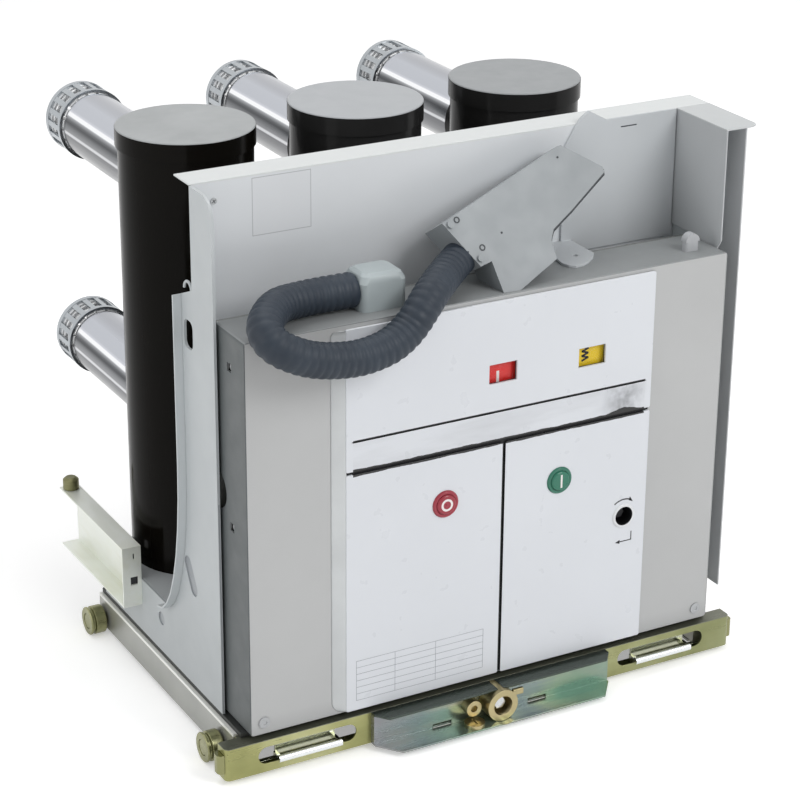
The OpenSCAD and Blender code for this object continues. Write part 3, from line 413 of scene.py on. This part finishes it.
def armFinish(name):
    f = metal(name, srgb(212, 214, 220), 0.16, 0.0, (20, 1, 20), 12)
    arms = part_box("contact_arms")
    low, high = arms[0][2] + armRadius, arms[1][2] - armRadius
    upper = f.axis("Z") > (low + high) / 2
    wobble = (f.noise(14, 3, (1, 0.1, 1)) - 0.5) * 0.07
    rise = (f.axis("Z") - low - upper * (high - low)) / armRadius + wobble
    # painted reflections and highlights: light and dark bands round the tube, from its underside to its top
    stops = [(0.0, srgb(98, 99, 101)), (0.3, srgb(106, 107, 110)), (0.44, srgb(106, 107, 110)),
             (0.46, srgb(98, 99, 102)), (0.48, srgb(200, 201, 204)), (0.51, srgb(204, 205, 208)),
             (0.527, srgb(136, 137, 140)), (0.6, srgb(118, 120, 123)), (0.655, srgb(72, 74, 77)),
             (0.69, srgb(98, 100, 103)), (0.715, srgb(138, 140, 143)), (0.735, srgb(170, 172, 176)),
             (0.748, srgb(248, 249, 251)), (0.787, srgb(250, 251, 253)), (0.805, srgb(204, 206, 214)),
             (0.83, srgb(190, 193, 200)), (0.95, srgb(190, 193, 200)), (1.0, srgb(170, 172, 178))]
    f.tint(f.node("ShaderNodeValToRGB", {"stops": stops}, {0: rise * 0.5 + 0.5}))
    return f.mat


def latchFinish(name):
    f = metal(name, srgb(226, 228, 230), 0.14, 0.05, (1, 1, 1), 20)
    f.repaint(f.axis("Y") > beamBox[0][1] - 0.0005, srgb(176, 178, 158))
    f.repaint(abs(f.axis("X")) > beamBox[1][0] - 0.003, srgb(138, 138, 100))
    return f.mat


# moulded parts

def plastic(name, color, rough=0.35, grain=0.05, coat=0.0, gloss=0.5):
    f = Finish(name, color, rough, 0.0, Coat_Weight=coat, Specular_IOR_Level=gloss)
    f.tint(f.mix(f.spread(f.noise(14, 4), 0.35, 0.7), shade(color, 0.92), shade(color, 1.05)))
    f.set("Roughness", f.spread(f.noise(50, 3), 0.3, 0.7, rough - 0.05, rough + 0.07))
    f.bump(f.noise(500, 2), grain, 0.0003)
    return f


def socketFinish(name):
    f = plastic(name, srgb(222, 224, 226), 0.4)
    x, z, shadedBore = middle(socketBox)[0], middle(socketBox)[2], 0.0113
    away = ((f.axis("X") - x) ** 2.0 + (f.axis("Z") - z) ** 2.0) ** 0.5
    # painted shade: the bore drawn black inside this radius
    f.repaint(away < shadedBore, srgb(20, 20, 22))
    return f.mat


def collarFinish(name):
    f = plastic(name, srgb(150, 30, 50), 0.35, 0.03, 0.2)
    between = (middle(stopBox)[0] + middle(closeBox)[0]) / 2
    f.repaint(f.axis("X") > between, srgb(24, 104, 82))
    return f.mat


def epoxyFinish(name):
    f = plastic(name, srgb(14, 12, 9), 0.16, 0.01, 0.0, 0.06)
    greyerPoles = f.axis("X") > -0.1   # the middle and right poles
    # the middle and right poles a mottled lighter grey
    f.repaint(greyerPoles * f.spread(f.noise(6, 3), 0.3, 0.6, 0.6, 1.0), srgb(40, 40, 40))
    return f.mat


def capFinish(name):
    f = plastic(name, srgb(161, 164, 165), 0.45)
    # painted light: the three caps are one grey, the middle one painted lighter and the right one darker
    f.repaint(f.axis("X") > -0.1, srgb(170, 173, 176))   # middle pole
    f.repaint(f.axis("X") > 0.1, srgb(147, 150, 152))    # right pole
    return f.mat


def plugFinish(name):
    f = plastic(name, srgb(145, 150, 153), 0.45, 0.12)
    # painted shade: darker towards the plug's foot on the cover's top
    f.repaint(f.spread(f.axis("Z"), cover[1][2], cover[1][2] + 0.03, 0.35, 0.0), srgb(120, 124, 128))
    return f.mat


def hoseFinish(name):
    f = plastic(name, srgb(44, 52, 62), 0.5, 0.15, 0.0, 0.3)
    f.repaint(f.spread(f.noise(22, 4), 0.5, 0.75) * 0.4, srgb(66, 75, 85))
    return f.mat


def glassFinish(name):
    f = Finish(name, srgb(120, 124, 126), 0.06)
    f.set("Alpha", f.spread(f.noise(20, 3), 0.3, 0.7, 0.02, 0.05))
    return f.mat


finishes = {
    "rail": railFinish("railZinc"),
    "zinc": plated("brightZinc", [(0.25, srgb(180, 181, 172)), (0.5, srgb(200, 199, 186)),
                                  (0.75, srgb(168, 170, 164))], 0.36, 0.7, (1, 12, 1)).mat,
    # painted shade: the deck plate dark, as the shade between the chassis and the frames
    "deck": plated("deckZincShaded", [(0.3, srgb(48, 50, 49)), (0.7, srgb(66, 68, 66))], 0.5, 0.4).mat,
    "dull": plated("dullZinc", [(0.3, srgb(118, 120, 118)), (0.7, srgb(140, 142, 140))], 0.45, 0.5).mat,
    "olive": beamFinish("oliveZinc"),
    "wheel": plated("wheelZinc", [(0.25, srgb(104, 104, 72)), (0.5, srgb(140, 140, 102)),
                                  (0.8, srgb(176, 175, 140))], 0.3, 0.8, (1, 8, 8), 30.0).mat,
    "tray": trayFinish("trayZinc"),
    "roller": plated("rollerZinc", [(0.3, srgb(104, 104, 66)), (0.7, srgb(136, 134, 98))], 0.4, 0.6).mat,
    "brass": metal("brass", srgb(188, 175, 134), 0.32, 0.5, (6, 6, 6), 40).mat,
    "bright": metal("brightSteel", srgb(206, 208, 210), 0.18, 0.15, (8, 1, 1)).mat,
    "latch": latchFinish("latchSteel"),
    "silver": armFinish("silverPaintedReflections"),
    "cage": metal("cagePlate", srgb(178, 183, 187), 0.3, 0.3, (4, 4, 4), 40).mat,
    "finger": metal("silverFinger", srgb(242, 243, 244), 0.35, 0.3, (4, 1, 4), 60, 0.35).mat,
    "spring": metal("springWire", srgb(214, 215, 216), 0.35, 0.3, (6, 6, 6), 60, 0.4).mat,
    "dark": metal("darkSteel", srgb(70, 70, 72), 0.45, 0.3).mat,
    "copper": metal("copper", srgb(200, 140, 105), 0.3, 0.4).mat,
    "frame": frameFinish("framePaint"),
    "plate": rimFinish("platePaint", outlineMake),
    "shelf": paint("shelfPaint", srgb(176, 180, 182)).mat,
    "wing": wingFinish("wingPaint"),
    "cover": coverFinish("coverPaint"),
    "panelTop": upperPanelFinish("panelTop", panelMake),
    "panelLow": lowerPanelFinish("panelLow", panelMake),
    "glass": glassFinish("windowGlass"),
    "joint": plastic("blackJoint", srgb(24, 24, 26), 0.6).mat,
    "plug": plugFinish("plugGrey"),
    "fitting": plastic("fittingGrey", srgb(164, 173, 175), 0.4, 0.08).mat,
    "nose": paint("nosePaint", srgb(196, 200, 203)).mat,
    "peg": plastic("pegGrey", srgb(182, 184, 187), 0.4).mat,
    "hose": hoseFinish("hoseBlue"),
    "epoxy": epoxyFinish("epoxyBlack"),
    "cap": capFinish("capGrey"),
    "red": plastic("flagRed", srgb(222, 28, 22), 0.35).mat,
    "yellow": plastic("flagYellow", srgb(240, 204, 14), 0.35).mat,
    "green": plastic("buttonGreen", srgb(22, 108, 84), 0.3, 0.03, 0.2).mat,
    "stop": plastic("buttonRed", srgb(150, 28, 48), 0.3, 0.03, 0.2).mat,
    "collar": collarFinish("collarPlastic"),
    "mouth": socketFinish("mouthPlastic"),
    "ceramic": plastic("ceramic", srgb(226, 222, 212), 0.2, 0.02, 0.4).mat,
    "coil": plastic("coilBrown", srgb(110, 66, 40), 0.4).mat,
    "insulator": plastic("rodBrown", srgb(130, 62, 44), 0.4).mat,
    "cream": plated("creamZinc", [(0.25, srgb(228, 231, 216)), (0.5, srgb(240, 243, 236)),
                                  (0.78, srgb(220, 221, 198))], 0.36, 0.35, (3, 0.3, 3), 6.0, 0.02).mat,
    "skirt": plastic("panelSkirt", srgb(202, 205, 206), 0.4).mat,
    "screw": metal("screwHead", srgb(176, 178, 180), 0.35, 0.3, (6, 6, 6), 60, 0.5).mat,
    # painted shade: a dark stand-in for the shadow gap along the plug, the shade round its clamp screws, in
    # the sheet's slit and in the plate screw's drive
    "shadeDark": plastic("paintedShadeDark", srgb(52, 56, 60), 0.6).mat,
    "mark": plastic("markInk", srgb(30, 30, 34), 0.6).mat,
    "pale": plastic("markPale", srgb(150, 154, 162), 0.6).mat,
    "white": plastic("markWhite", srgb(238, 232, 230), 0.5).mat,
}
print("finishes:", len(finishes))


# meshes

def newPiece(name, mesh, finish, body, replaced=()):
    obj = bpy.data.objects.new(name, mesh)
    bpy.context.collection.objects.link(obj)
    mesh.materials.clear()
    mesh.materials.append(finishes[finish])
    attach(obj, body)
    if replaced:
        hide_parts(*replaced)
    return obj


def meshFrom(name, verts, faces, smooth=True):
    mesh = bpy.data.meshes.new(name)
    mesh.from_pydata([tuple(v) for v in verts], [], faces)
    mesh.update()
    for p in mesh.polygons:
        p.use_smooth = smooth
    return mesh


# skin through rings of points: ends is 0 for a closed loop of rings, else the turn of the end faces, 1 or -1
def loft(rings, ends):
    n, count = len(rings[0]), len(rings)
    faces = []
    for i in range(count - 1 if ends else count):
        a, b = i * n, (i + 1) % count * n
        faces += [(a + k, b + k, b + (k + 1) % n, a + (k + 1) % n) for k in range(n)]
    if ends:
        faces += [tuple(range(n))[::ends], tuple(range((count - 1) * n, count * n))[::-ends]]
    return [p for ring in rings for p in ring], faces


def slab(outline, y, depth):
    n = len(outline)
    verts = [(x, y, z) for x, z in outline] + [(x, y + depth, z) for x, z in outline]
    faces = [tuple(range(n)), tuple(reversed(range(n, 2 * n)))]
    faces += [(i, (i + 1) % n, n + (i + 1) % n, n + i)[::-1] for i in range(n)]
    return verts, faces


def bar(x, z, w, h, lean=0.0):
    c, k = math.cos(lean), math.sin(lean)
    corners = [(-w / 2, -h / 2), (w / 2, -h / 2), (w / 2, h / 2), (-w / 2, h / 2)]
    return [(x + a * c - b * k, z + a * k + b * c) for a, b in corners]


def arcSlabs(x, z, ring, sweep, y, depth, steps=24):
    out = []
    for i in range(steps):
        a, b = (math.radians(sweep[0] + (sweep[1] - sweep[0]) * k / steps) for k in (i, i + 1))
        corners = ((ring[0], a), (ring[1], a), (ring[1], b), (ring[0], b))
        out.append(slab([(x + q * math.cos(t), z + q * math.sin(t)) for q, t in corners], y, depth))
    return out


# one flat-shaded piece out of several closed shapes
def detail(name, shapes, finish, body, slot):
    verts, faces = [], []
    for v, f in shapes:
        faces += [tuple(k + len(verts) for k in face) for face in f]
        verts += v
    return newPiece(name, meshFrom(name, verts, faces, False), finish, body)


# a CAD node's own shape with its edges broken
skinMake = {"weld": 0.00001, "flat": 1.0, "angle": 30, "wideFrom": 1.5, "faceWeight": 100}


def softened(node, finish, width, m=skinMake):
    bm = bmesh.new()
    bm.from_mesh(nodes[node].data)
    bmesh.ops.remove_doubles(bm, verts=bm.verts, dist=m["weld"])
    bmesh.ops.dissolve_limit(bm, angle_limit=math.radians(m["flat"]), verts=bm.verts, edges=bm.edges)
    mesh = bpy.data.meshes.new(node + "Skin")
    bm.to_mesh(mesh)
    bm.free()
    for p in mesh.polygons:
        p.use_smooth = True
    obj = newPiece(node + "Skin", mesh, finish, bodyOf[node], (node,))
    bevel = obj.modifiers.new("edges", "BEVEL")
    bevel.width, bevel.segments = width / 1000, 3 if width > m["wideFrom"] else 2
    bevel.limit_method, bevel.angle_limit = "ANGLE", math.radians(m["angle"])
    bevel.use_clamp_overlap = True
    flat = obj.modifiers.new("flatFaces", "WEIGHTED_NORMAL")
    flat.mode, flat.weight = "FACE_AREA", m["faceWeight"]


def plain(node, finish):
    data = nodes[node].data
    data.materials.clear()
    data.materials.append(finishes[finish])


# hose, along the route of the part's source, in mm from the middle of the cover's top front edge

hoseMake = {"radius": 0.019, "clear": 0.0001, "groove": 0.0010, "pitch": 0.0088, "ribRings": 8,
            "ribEdge": 1.6, "sides": 40, "fine": 24, "relax": 100}
hoseStart = Vector((0, cover[0][1], cover[1][2]))
hoseGuide = [(-151, 39, 20), (-186, 40, 20), (-217, 36.5, 20.5), (-247, 22.5, 23), (-274.5, -8.5, 18.5),
             (-278, -27, 8.5), (-262, -36, -3), (-232, -37, -16), (-190, -35, -23.5), (-160, -32.5, -22),
             (-138.5, -28.5, -17.5), (-118, -23, -7), (-103.8, -20.5, 8), (-80.5, -4.5, 21),
             (-50, 23, 25.5), (-19.8, 45.6, 31.8)]
plugAim = Vector((0.85, 0.527 * math.cos(plugLean), 0.527 * math.sin(plugLean))).normalized()


def smoothPath(points, steps):
    pts = [hoseStart + Vector(p) / 1000 for p in points]
    last = len(pts) - 1
    line = []
    for i in range(last):
        a, b, c, d = pts[max(i - 1, 0)], pts[i], pts[i + 1], pts[min(i + 2, last)]
        for j in range(steps):
            t = j / steps
            line.append(0.5 * (2 * b + (c - a) * t + (2 * a - 5 * b + 4 * c - d) * t * t
                               + (3 * b - a - 3 * c + d) * t ** 3))
    return line + [pts[-1]]


def evenPath(line, count):
    lengths = [0.0]
    for a, b in zip(line, line[1:]):
        lengths.append(lengths[-1] + (b - a).length)
    out, k = [], 0
    for i in range(count + 1):
        s = lengths[-1] * i / count
        while k < len(line) - 2 and lengths[k + 1] < s:
            k += 1
        out.append(line[k].lerp(line[k + 1], (s - lengths[k]) / max(1e-9, lengths[k + 1] - lengths[k])))
    return out, lengths[-1]


def makeHose(h):
    fine = smoothPath(hoseGuide, h["fine"])
    length = sum((b - a).length for a, b in zip(fine, fine[1:]))
    ribs = round(length / h["pitch"])
    line, length = evenPath(fine, ribs * h["ribRings"])
    for turn in range(h["relax"]):
        line = [line[0]] + [(a + b * 2 + c) / 4 for a, b, c in zip(line, line[1:], line[2:])] + [line[-1]]
    rings, across, last = [], Vector((0, 0, 1)), len(line) - 1
    for i, p in enumerate(line):
        tangent = (line[min(i + 1, last)] - line[max(i - 1, 0)]).normalized()
        if i == 0:
            tangent = Vector((-1, 0, 0))
        if i == last:
            tangent = plugAim
        across = (across - tangent * across.dot(tangent)).normalized()
        side = tangent.cross(across)
        crest = 0.5 - 0.5 * math.cos(2 * math.pi * (i % h["ribRings"]) / h["ribRings"])
        radius = h["radius"] - h["groove"] * (1 - crest) ** h["ribEdge"] - h["clear"]
        angles = [2 * math.pi * k / h["sides"] for k in range(h["sides"])]
        rings.append([p + (across * math.cos(a) + side * math.sin(a)) * radius for a in angles])
    hose = newPiece("controlHose", meshFrom("controlHose", *loft(rings, 1)), "hose", "truck",
                    ("control_hose",))
    return hose, length, smoothPath(hoseGuide, 2)


hose, hoseLength, hosePath = makeHose(hoseMake)
softened("plug_shell", "plug", 2.5)
print("hose:", round(hoseLength, 3), "m")


# every CAD node: its finish and the radius that its edges are broken by, in mm

skins = {
    "chassis_frame": ("rail", 0.5), "deck_plate": ("deck", 0.5), "racking_nut": ("brass", 0.4),
    "wheel_axles": ("wheel", 0.5), "front_beam": ("olive", 0.6), "beam_slides": ("zinc", 0.5),
    "racking_tray": ("tray", 0.5), "crank_cup": ("brass", 1.0), "key_disc": ("brass", 0.6),
    "racking_screw": ("bright", 0.4), "latch_left": ("latch", 0.5), "latch_right": ("latch", 0.5),
    "side_frame_left": ("frame", 0.7), "side_frame_right": ("frame", 0.7), "mechanism_wall": ("dull", 0.5),
    "upper_plate": ("plate", 0.7), "right_wing": ("wing", 0.7), "front_cover": ("cover", 2.4),
    "upper_panel": ("panelTop", 0.6), "lower_panels": ("panelLow", 0.6), "charging_socket": ("mouth", 0.5),
    "cover_screws": ("screw", 0.3), "pole_beam": ("shelf", 1.0), "pole_cylinders": ("epoxy", 1.2),
    "pole_caps": ("cap", 0.5), "contact_arms": ("silver", 0.8), "shutter_rails": ("cream", 0.5),
    "guide_roller_left": ("roller", 0.7), "guide_roller_right": ("roller", 0.7),
    "hose_fitting": ("fitting", 2.0), "parking_socket": ("nose", 0.6), "cover_peg": ("peg", 1.2),
    "stop_button": ("stop", 0.6), "close_button": ("green", 0.6), "button_collars": ("collar", 0.4),
}
for corner in ("front_left", "front_right", "rear_left", "rear_right"):
    skins["wheel_" + corner] = ("wheel", 0.5)
plains = {
    "panel_gasket": "joint", "charging_shaft": "dark", "position_flag": "red",
    "spring_flag": "yellow", "flag_guides": "dull", "mechanism_cheeks": "dull", "spring_motor": "dark",
    "magnet_coils": "coil", "terminal_blocks": "copper", "vacuum_bottles": "ceramic",
    "cluster_fingers": "finger", "cluster_cages": "cage", "cluster_springs": "spring",
    "contact_left": "insulator", "contact_middle": "insulator", "contact_right": "insulator",
    "main_shaft": "dark", "shaft_bearings": "brass", "window_lenses": "glass",
}
for node, (finish, width) in skins.items():
    softened(node, finish, width)
for node, finish in plains.items():
    plain(node, finish)
print("skins:", len(skins) + len(plains))


# skirt: the panel's left edge slopes down to the cover, with a round corner at its foot

skirtMake = {"reach": 0.0165, "inset": 0.0012, "corner": 0.014, "cornerSteps": 8, "chamfer": (0.003, 0.004),
             "lap": 0.0005, "shoulder": 0.12, "toe": (0.9, 0.0008)}


def makeSkirt(m):
    left, face, back = panelBox[0][0], panelBox[0][1] + 0.0006, cover[0][1] - 0.0001
    low, high = panelBox[0][2] + m["inset"], topPanel[1][2] - m["inset"]
    rows = [(high, m["reach"] - m["chamfer"][0]), (high - m["chamfer"][1], m["reach"])]
    for i in range(m["cornerSteps"] + 1):
        a = math.radians(90 * i / m["cornerSteps"])
        rows.append((low + m["corner"] * (1 - math.sin(a)), m["reach"] - m["corner"] * (1 - math.cos(a))))
    share, lift = m["toe"]
    rings = [[(left + m["lap"], face, z), (left - reach * m["shoulder"], face, z),
              (left - reach * share, back - lift, z), (left - reach, back, z), (left + m["lap"], back, z)]
             for z, reach in rows]
    newPiece("panelSkirt", meshFrom("panelSkirt", *loft(rings, -1)), "skirt", "truck")


# a bolt head in the face of each shutter rail, and a slot end drawn as a dark slab, painted shade

boltMake = {"out": 0.009, "head": {"up": 0.0322, "size": (0.0086, 0.0096), "sunk": 0.0012, "depth": 0.003},
            "slot": {"up": 0.063, "size": (0.0019, 0.0068), "sunk": 0.0014, "depth": 0.001}}


def makeRailBolts(m):
    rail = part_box("shutter_rails")
    for name, side in (("railBoltLeft", -1), ("railBoltRight", 1)):
        x = side * (railFace + m["out"])
        heads = [slab(bar(x, rail[0][2] + h["up"], *h["size"]), rail[0][1] + h["sunk"], h["depth"])
                 for h in (m["head"], m["slot"])]
        detail(name, heads, "dark", "truck", "dark_steel")


makeSkirt(skirtMake)
makeRailBolts(boltMake)
print("panel skirt and rail bolts")


# plug: painted shade, a dark strip along its lower right edge for the shadow gap there, and dark rings for
# the shade round the screws of its cable clamp
# edge, clamp and dots are in mm across and up its sloping front

plugMake = {"at": (0.0, cover[0][1] + 0.004, cover[1][2] + 0.0015),
            "edge": [(170, 112), (168, 107), (142, 90), (116, 72.5), (100, 63), (88, 55), (83, 47), (82, 38)],
            "lip": 0.0023, "lipEnd": 0.0004, "lipDepth": (0.0036, 0.005),
            "clamp": [(-2, 50), (-23.5, 83.5)], "clampRing": (0.0036, 0.0022, 20),
            "dots": [(25, 62), (115, 132)], "dotRing": (0.0012, 0.0002, 10), "ringDepth": (0.0003, -0.0004)}


def onPlug(m, across, up, depth):
    c, k = math.cos(plugLean), math.sin(plugLean)
    x, y, z = m["at"]
    return (x + across, y + up * c + depth * k, z + up * k - depth * c)


# painted shade: a dark strip for the shadow gap along the plug's lower right edge
def makePlugEdgeShadow(m):
    path = [Vector((a / 1000, b / 1000)) for a, b in m["edge"]]
    last = len(path) - 1
    near, far = m["lipDepth"]
    rings = []
    for i, p in enumerate(path):
        along = (path[min(i + 1, last)] - path[max(i - 1, 0)]).normalized()
        out = Vector((-along.y, along.x)) * (m["lip"] if 0 < i < last else m["lipEnd"])
        inner, outer = p - out * 0.5, p + out
        rings.append([onPlug(m, q.x, q.y, depth)
                      for q, depth in ((inner, near), (outer, near), (outer, far), (inner, far))])
    detail("plugEdgeShadow", [loft(rings, -1)], "shadeDark", bodyOf["plug_shell"], "black_joint")


def ringOnPlug(m, place, radius, hole, steps):
    outer, inner = m["ringDepth"]
    rings = []
    for i in range(steps):
        t = math.radians(360 * i / steps)
        rings.append([onPlug(m, place[0] / 1000 + r * math.cos(t), place[1] / 1000 + r * math.sin(t), depth)
                      for r, depth in ((hole, outer), (hole, inner), (radius, inner), (radius, outer))])
    return loft(rings, 0)


# painted shade: dark rings round the clamp screws, and two small dark dots
def makePlugScrewShades(m):
    rings = [ringOnPlug(m, place, *m["clampRing"]) for place in m["clamp"]]
    rings += [ringOnPlug(m, place, *m["dotRing"]) for place in m["dots"]]
    detail("plugScrewShades", rings, "shadeDark", bodyOf["plug_shell"], "black_joint")


makePlugEdgeShadow(plugMake)
makePlugScrewShades(plugMake)
print("plug lip and screws")


# upper plate: a slit in the sheet behind the plug drawn as a dark strip, painted shade, and a small cross
# screw whose drive is painted shade, down from the rim

plateMake = {"slit": (0.229, 0.011), "slitSize": (0.0206, 0.0013), "slitOut": 0.0025, "slitDepth": 0.0004,
             "screw": (-0.273, 0.022), "headRadius": 0.0035, "headOut": 0.0012, "headDepth": 0.0014,
             "drive": (0.0046, 0.0008), "driveLeans": (0.6, 2.17), "driveOut": 0.0014, "driveDepth": 0.0003}


def makePlateMarks(m):
    slit = bar(m["slit"][0], rimTop - m["slit"][1], *m["slitSize"])
    slit = slab(slit, plateFace - m["slitOut"], m["slitDepth"])
    detail("sheetSlitShade", [slit], "shadeDark", "truck", "black_joint")
    x, z, r = m["screw"][0], rimTop - m["screw"][1], m["headRadius"]
    angles = [math.radians(t) for t in range(0, 360, 20)]
    head = slab([(x + r * math.cos(t), z + r * math.sin(t)) for t in angles], plateFace - m["headOut"],
                m["headDepth"])
    detail("plateScrew", [head], "screw", "truck", "zinc_steel")
    drive = [slab(bar(x, z, *m["drive"], lean), plateFace - m["driveOut"], m["driveDepth"])
             for lean in m["driveLeans"]]
    detail("plateScrewDriveShade", drive, "shadeDark", "truck", "black_joint")


makePlateMarks(plateMake)
print("plate marks")


# marks: thin inlays on the buttons, the flags and the panel, all of them plain signs

inlayMake = {"proud": 0.00015, "depth": 0.0004}
buttonMake = {"ring": (0.0046, 0.0071), "ringSteps": 40, "bar": (0.0022, 0.0155), "aside": 0.0006}
flagMake = {"windowHalf": 0.0118, "barAt": (-0.0026, -0.0056), "bar": (0.0034, 0.0135), "turns": 6,
            "turnAt": (-0.0048, 0.0074), "turn": (0.0092, 0.0024), "turnStep": 0.0027, "turnLean": 20}
turnMake = {"ring": (0.0195, 0.021), "sweep": (62, 128), "line": 0.0012,
            "head": [(0.0120, 0.0152), (0.0078, 0.0222), (0.0064, 0.0178)], "corner": (0.0115, -0.0320),
            "stem": (0.005, 0.011), "shaft": (-0.008, 0.017),
            "tip": [(-0.021, 0), (-0.015, -0.0024), (-0.015, 0.0024)]}
gridMake = {"from": 0.012, "size": (0.158, 0.048), "line": 0.0004, "rows": 6, "columns": (0, 0.3, 0.62, 1)}


def frontOf(box):
    return box[0][1] - inlayMake["proud"]


def makeButtonMarks(m):
    x, z = middle(stopBox)[0], middle(stopBox)[2]
    ring = arcSlabs(x, z, m["ring"], (0, 360), frontOf(stopBox), inlayMake["depth"], m["ringSteps"])
    detail("stopMark", ring, "white", "stop", "stop_red")
    stroke = bar(middle(closeBox)[0] + m["aside"], middle(closeBox)[2], *m["bar"])
    stroke = slab(stroke, frontOf(closeBox), inlayMake["depth"])
    detail("closeMark", [stroke], "white", "close", "close_green")


def makeFlagSigns(m):
    lens, redFlag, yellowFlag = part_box("window_lenses"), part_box("position_flag"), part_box("spring_flag")
    redX, redZ = middle(redFlag)[0] + m["barAt"][0], lens[1][2] - m["windowHalf"] + m["barAt"][1]
    stroke = slab(bar(redX, redZ, *m["bar"]), frontOf(redFlag), inlayMake["depth"])
    detail("closedSign", [stroke], "white", "flag_position", "stop_red")
    x, z = middle(yellowFlag)[0] + m["turnAt"][0], lens[0][2] + m["windowHalf"] + m["turnAt"][1]
    coil = []
    for i in range(m["turns"]):
        lean = math.radians(m["turnLean"] if i % 2 else -m["turnLean"])
        stroke = bar(x, z - m["turnStep"] * i, *m["turn"], lean)
        coil.append(slab(stroke, frontOf(redFlag), inlayMake["depth"]))
    detail("chargedSign", coil, "mark", "flag_spring", "flag_yellow")


# two arrows beside the charging socket: one round it, one hooked below it
def makeTurnPrint(m):
    x, z = middle(socketBox)[0], middle(socketBox)[2]
    cornerX, cornerZ = x + m["corner"][0], z + m["corner"][1]
    shapes = [[(x + a, z + b) for a, b in m["head"]],
              bar(cornerX, cornerZ + m["stem"][0], m["line"], m["stem"][1]),
              bar(cornerX + m["shaft"][0], cornerZ, m["shaft"][1], m["line"]),
              [(cornerX + a, cornerZ + b) for a, b in m["tip"]]]
    arrow = arcSlabs(x, z, m["ring"], m["sweep"], frontOf(panelBox), inlayMake["depth"])
    arrow += [slab(s, frontOf(panelBox), inlayMake["depth"]) for s in shapes]
    detail("turnPrint", arrow, "mark", "truck", "black_joint")


# empty grid at the left foot of the panel
def makeRatingGrid(m):
    left, low = panelBox[0][0] + m["from"], panelBox[0][2] + m["from"]
    wide, high = m["size"]
    lines = [bar(left + wide / 2, low + high * k / m["rows"], wide, m["line"]) for k in range(m["rows"] + 1)]
    lines += [bar(left + wide * k, low + high / 2, m["line"], high) for k in m["columns"]]
    rules = [slab(s, frontOf(panelBox), inlayMake["depth"]) for s in lines]
    detail("ratingGrid", rules, "pale", "truck", "black_joint")


makeButtonMarks(buttonMake)
makeFlagSigns(flagMake)
makeTurnPrint(turnMake)
makeRatingGrid(gridMake)
print("marks")


# floor, background and lamps

stageMake = {"half": 15, "color": 0.93, "lift": 0.36, "light": 0.5, "back": 1.0}
lamps = {
    "keyLamp": {"place": (1.6, -3.2, 3.0), "size": 2.0, "power": 74},
    "topLamp": {"place": (0.0, 0.6, 3.4), "size": 2.5, "power": 30},
    "sideLamp": {"place": (-3.2, -0.4, 1.6), "size": 1.6, "power": 20},
}
lampAim = (0, 0, 0.3)


# 1 where the camera, a reflection or a clear part looks, 0 for the light that falls on things
def rayMask(graph):
    camera = graph.node("ShaderNodeLightPath", out="Is Camera Ray")
    total, clamped = camera, {"operation": "ADD", "use_clamp": True}
    for kind in ("Is Glossy Ray", "Is Transmission Ray"):
        total = graph.node("ShaderNodeMath", clamped, {0: total, 1: camera.out(kind)})
    return total


def makeFloor(s):
    h = s["half"]
    mesh = meshFrom("floor", [(-h, -h, 0), (h, -h, 0), (h, h, 0), (-h, h, 0)], [(0, 1, 2, 3)], False)
    floor = bpy.data.objects.new("floor", mesh)
    bpy.context.collection.objects.link(floor)
    f = Finish("floorPale", (s["color"],) * 3, 0.9)
    f.set("Roughness", f.spread(f.noise(2, 2), 0.3, 0.7, 0.85, 0.95))
    f.set("Emission Color", f.mix(rayMask(f), (0, 0, 0), (s["lift"],) * 3))
    f.set("Emission Strength", 1.0)
    mesh.materials.append(f.mat)


def makeWorld(s):
    world = bpy.data.worlds.new("studio")
    bpy.context.scene.world = world
    world.use_nodes = True
    sky = Graph(world.node_tree)
    sky.tree.nodes.clear()
    light, back = (sky.node("ShaderNodeBackground", {}, {"Color": (1, 1, 1, 1), "Strength": s[k]})
                   for k in ("light", "back"))
    mixed = sky.node("ShaderNodeMixShader", {}, {0: rayMask(sky), 1: light, 2: back})
    sky.node("ShaderNodeOutputWorld", {}, {"Surface": mixed})


def addLamp(name, m):
    data = bpy.data.lights.new(name, "AREA")
    data.shape, data.size, data.size_y, data.energy = "RECTANGLE", m["size"], m["size"], m["power"]
    lamp = bpy.data.objects.new(name, data)
    bpy.context.collection.objects.link(lamp)
    lamp.location = m["place"]
    lamp.rotation_euler = (Vector(lampAim) - Vector(m["place"])).to_track_quat("-Z", "Y").to_euler()


makeFloor(stageMake)
makeWorld(stageMake)
for name, lamp in lamps.items():
    addLamp(name, lamp)
bpy.context.scene.view_settings.view_transform = "Standard"
print("stage and lamps")
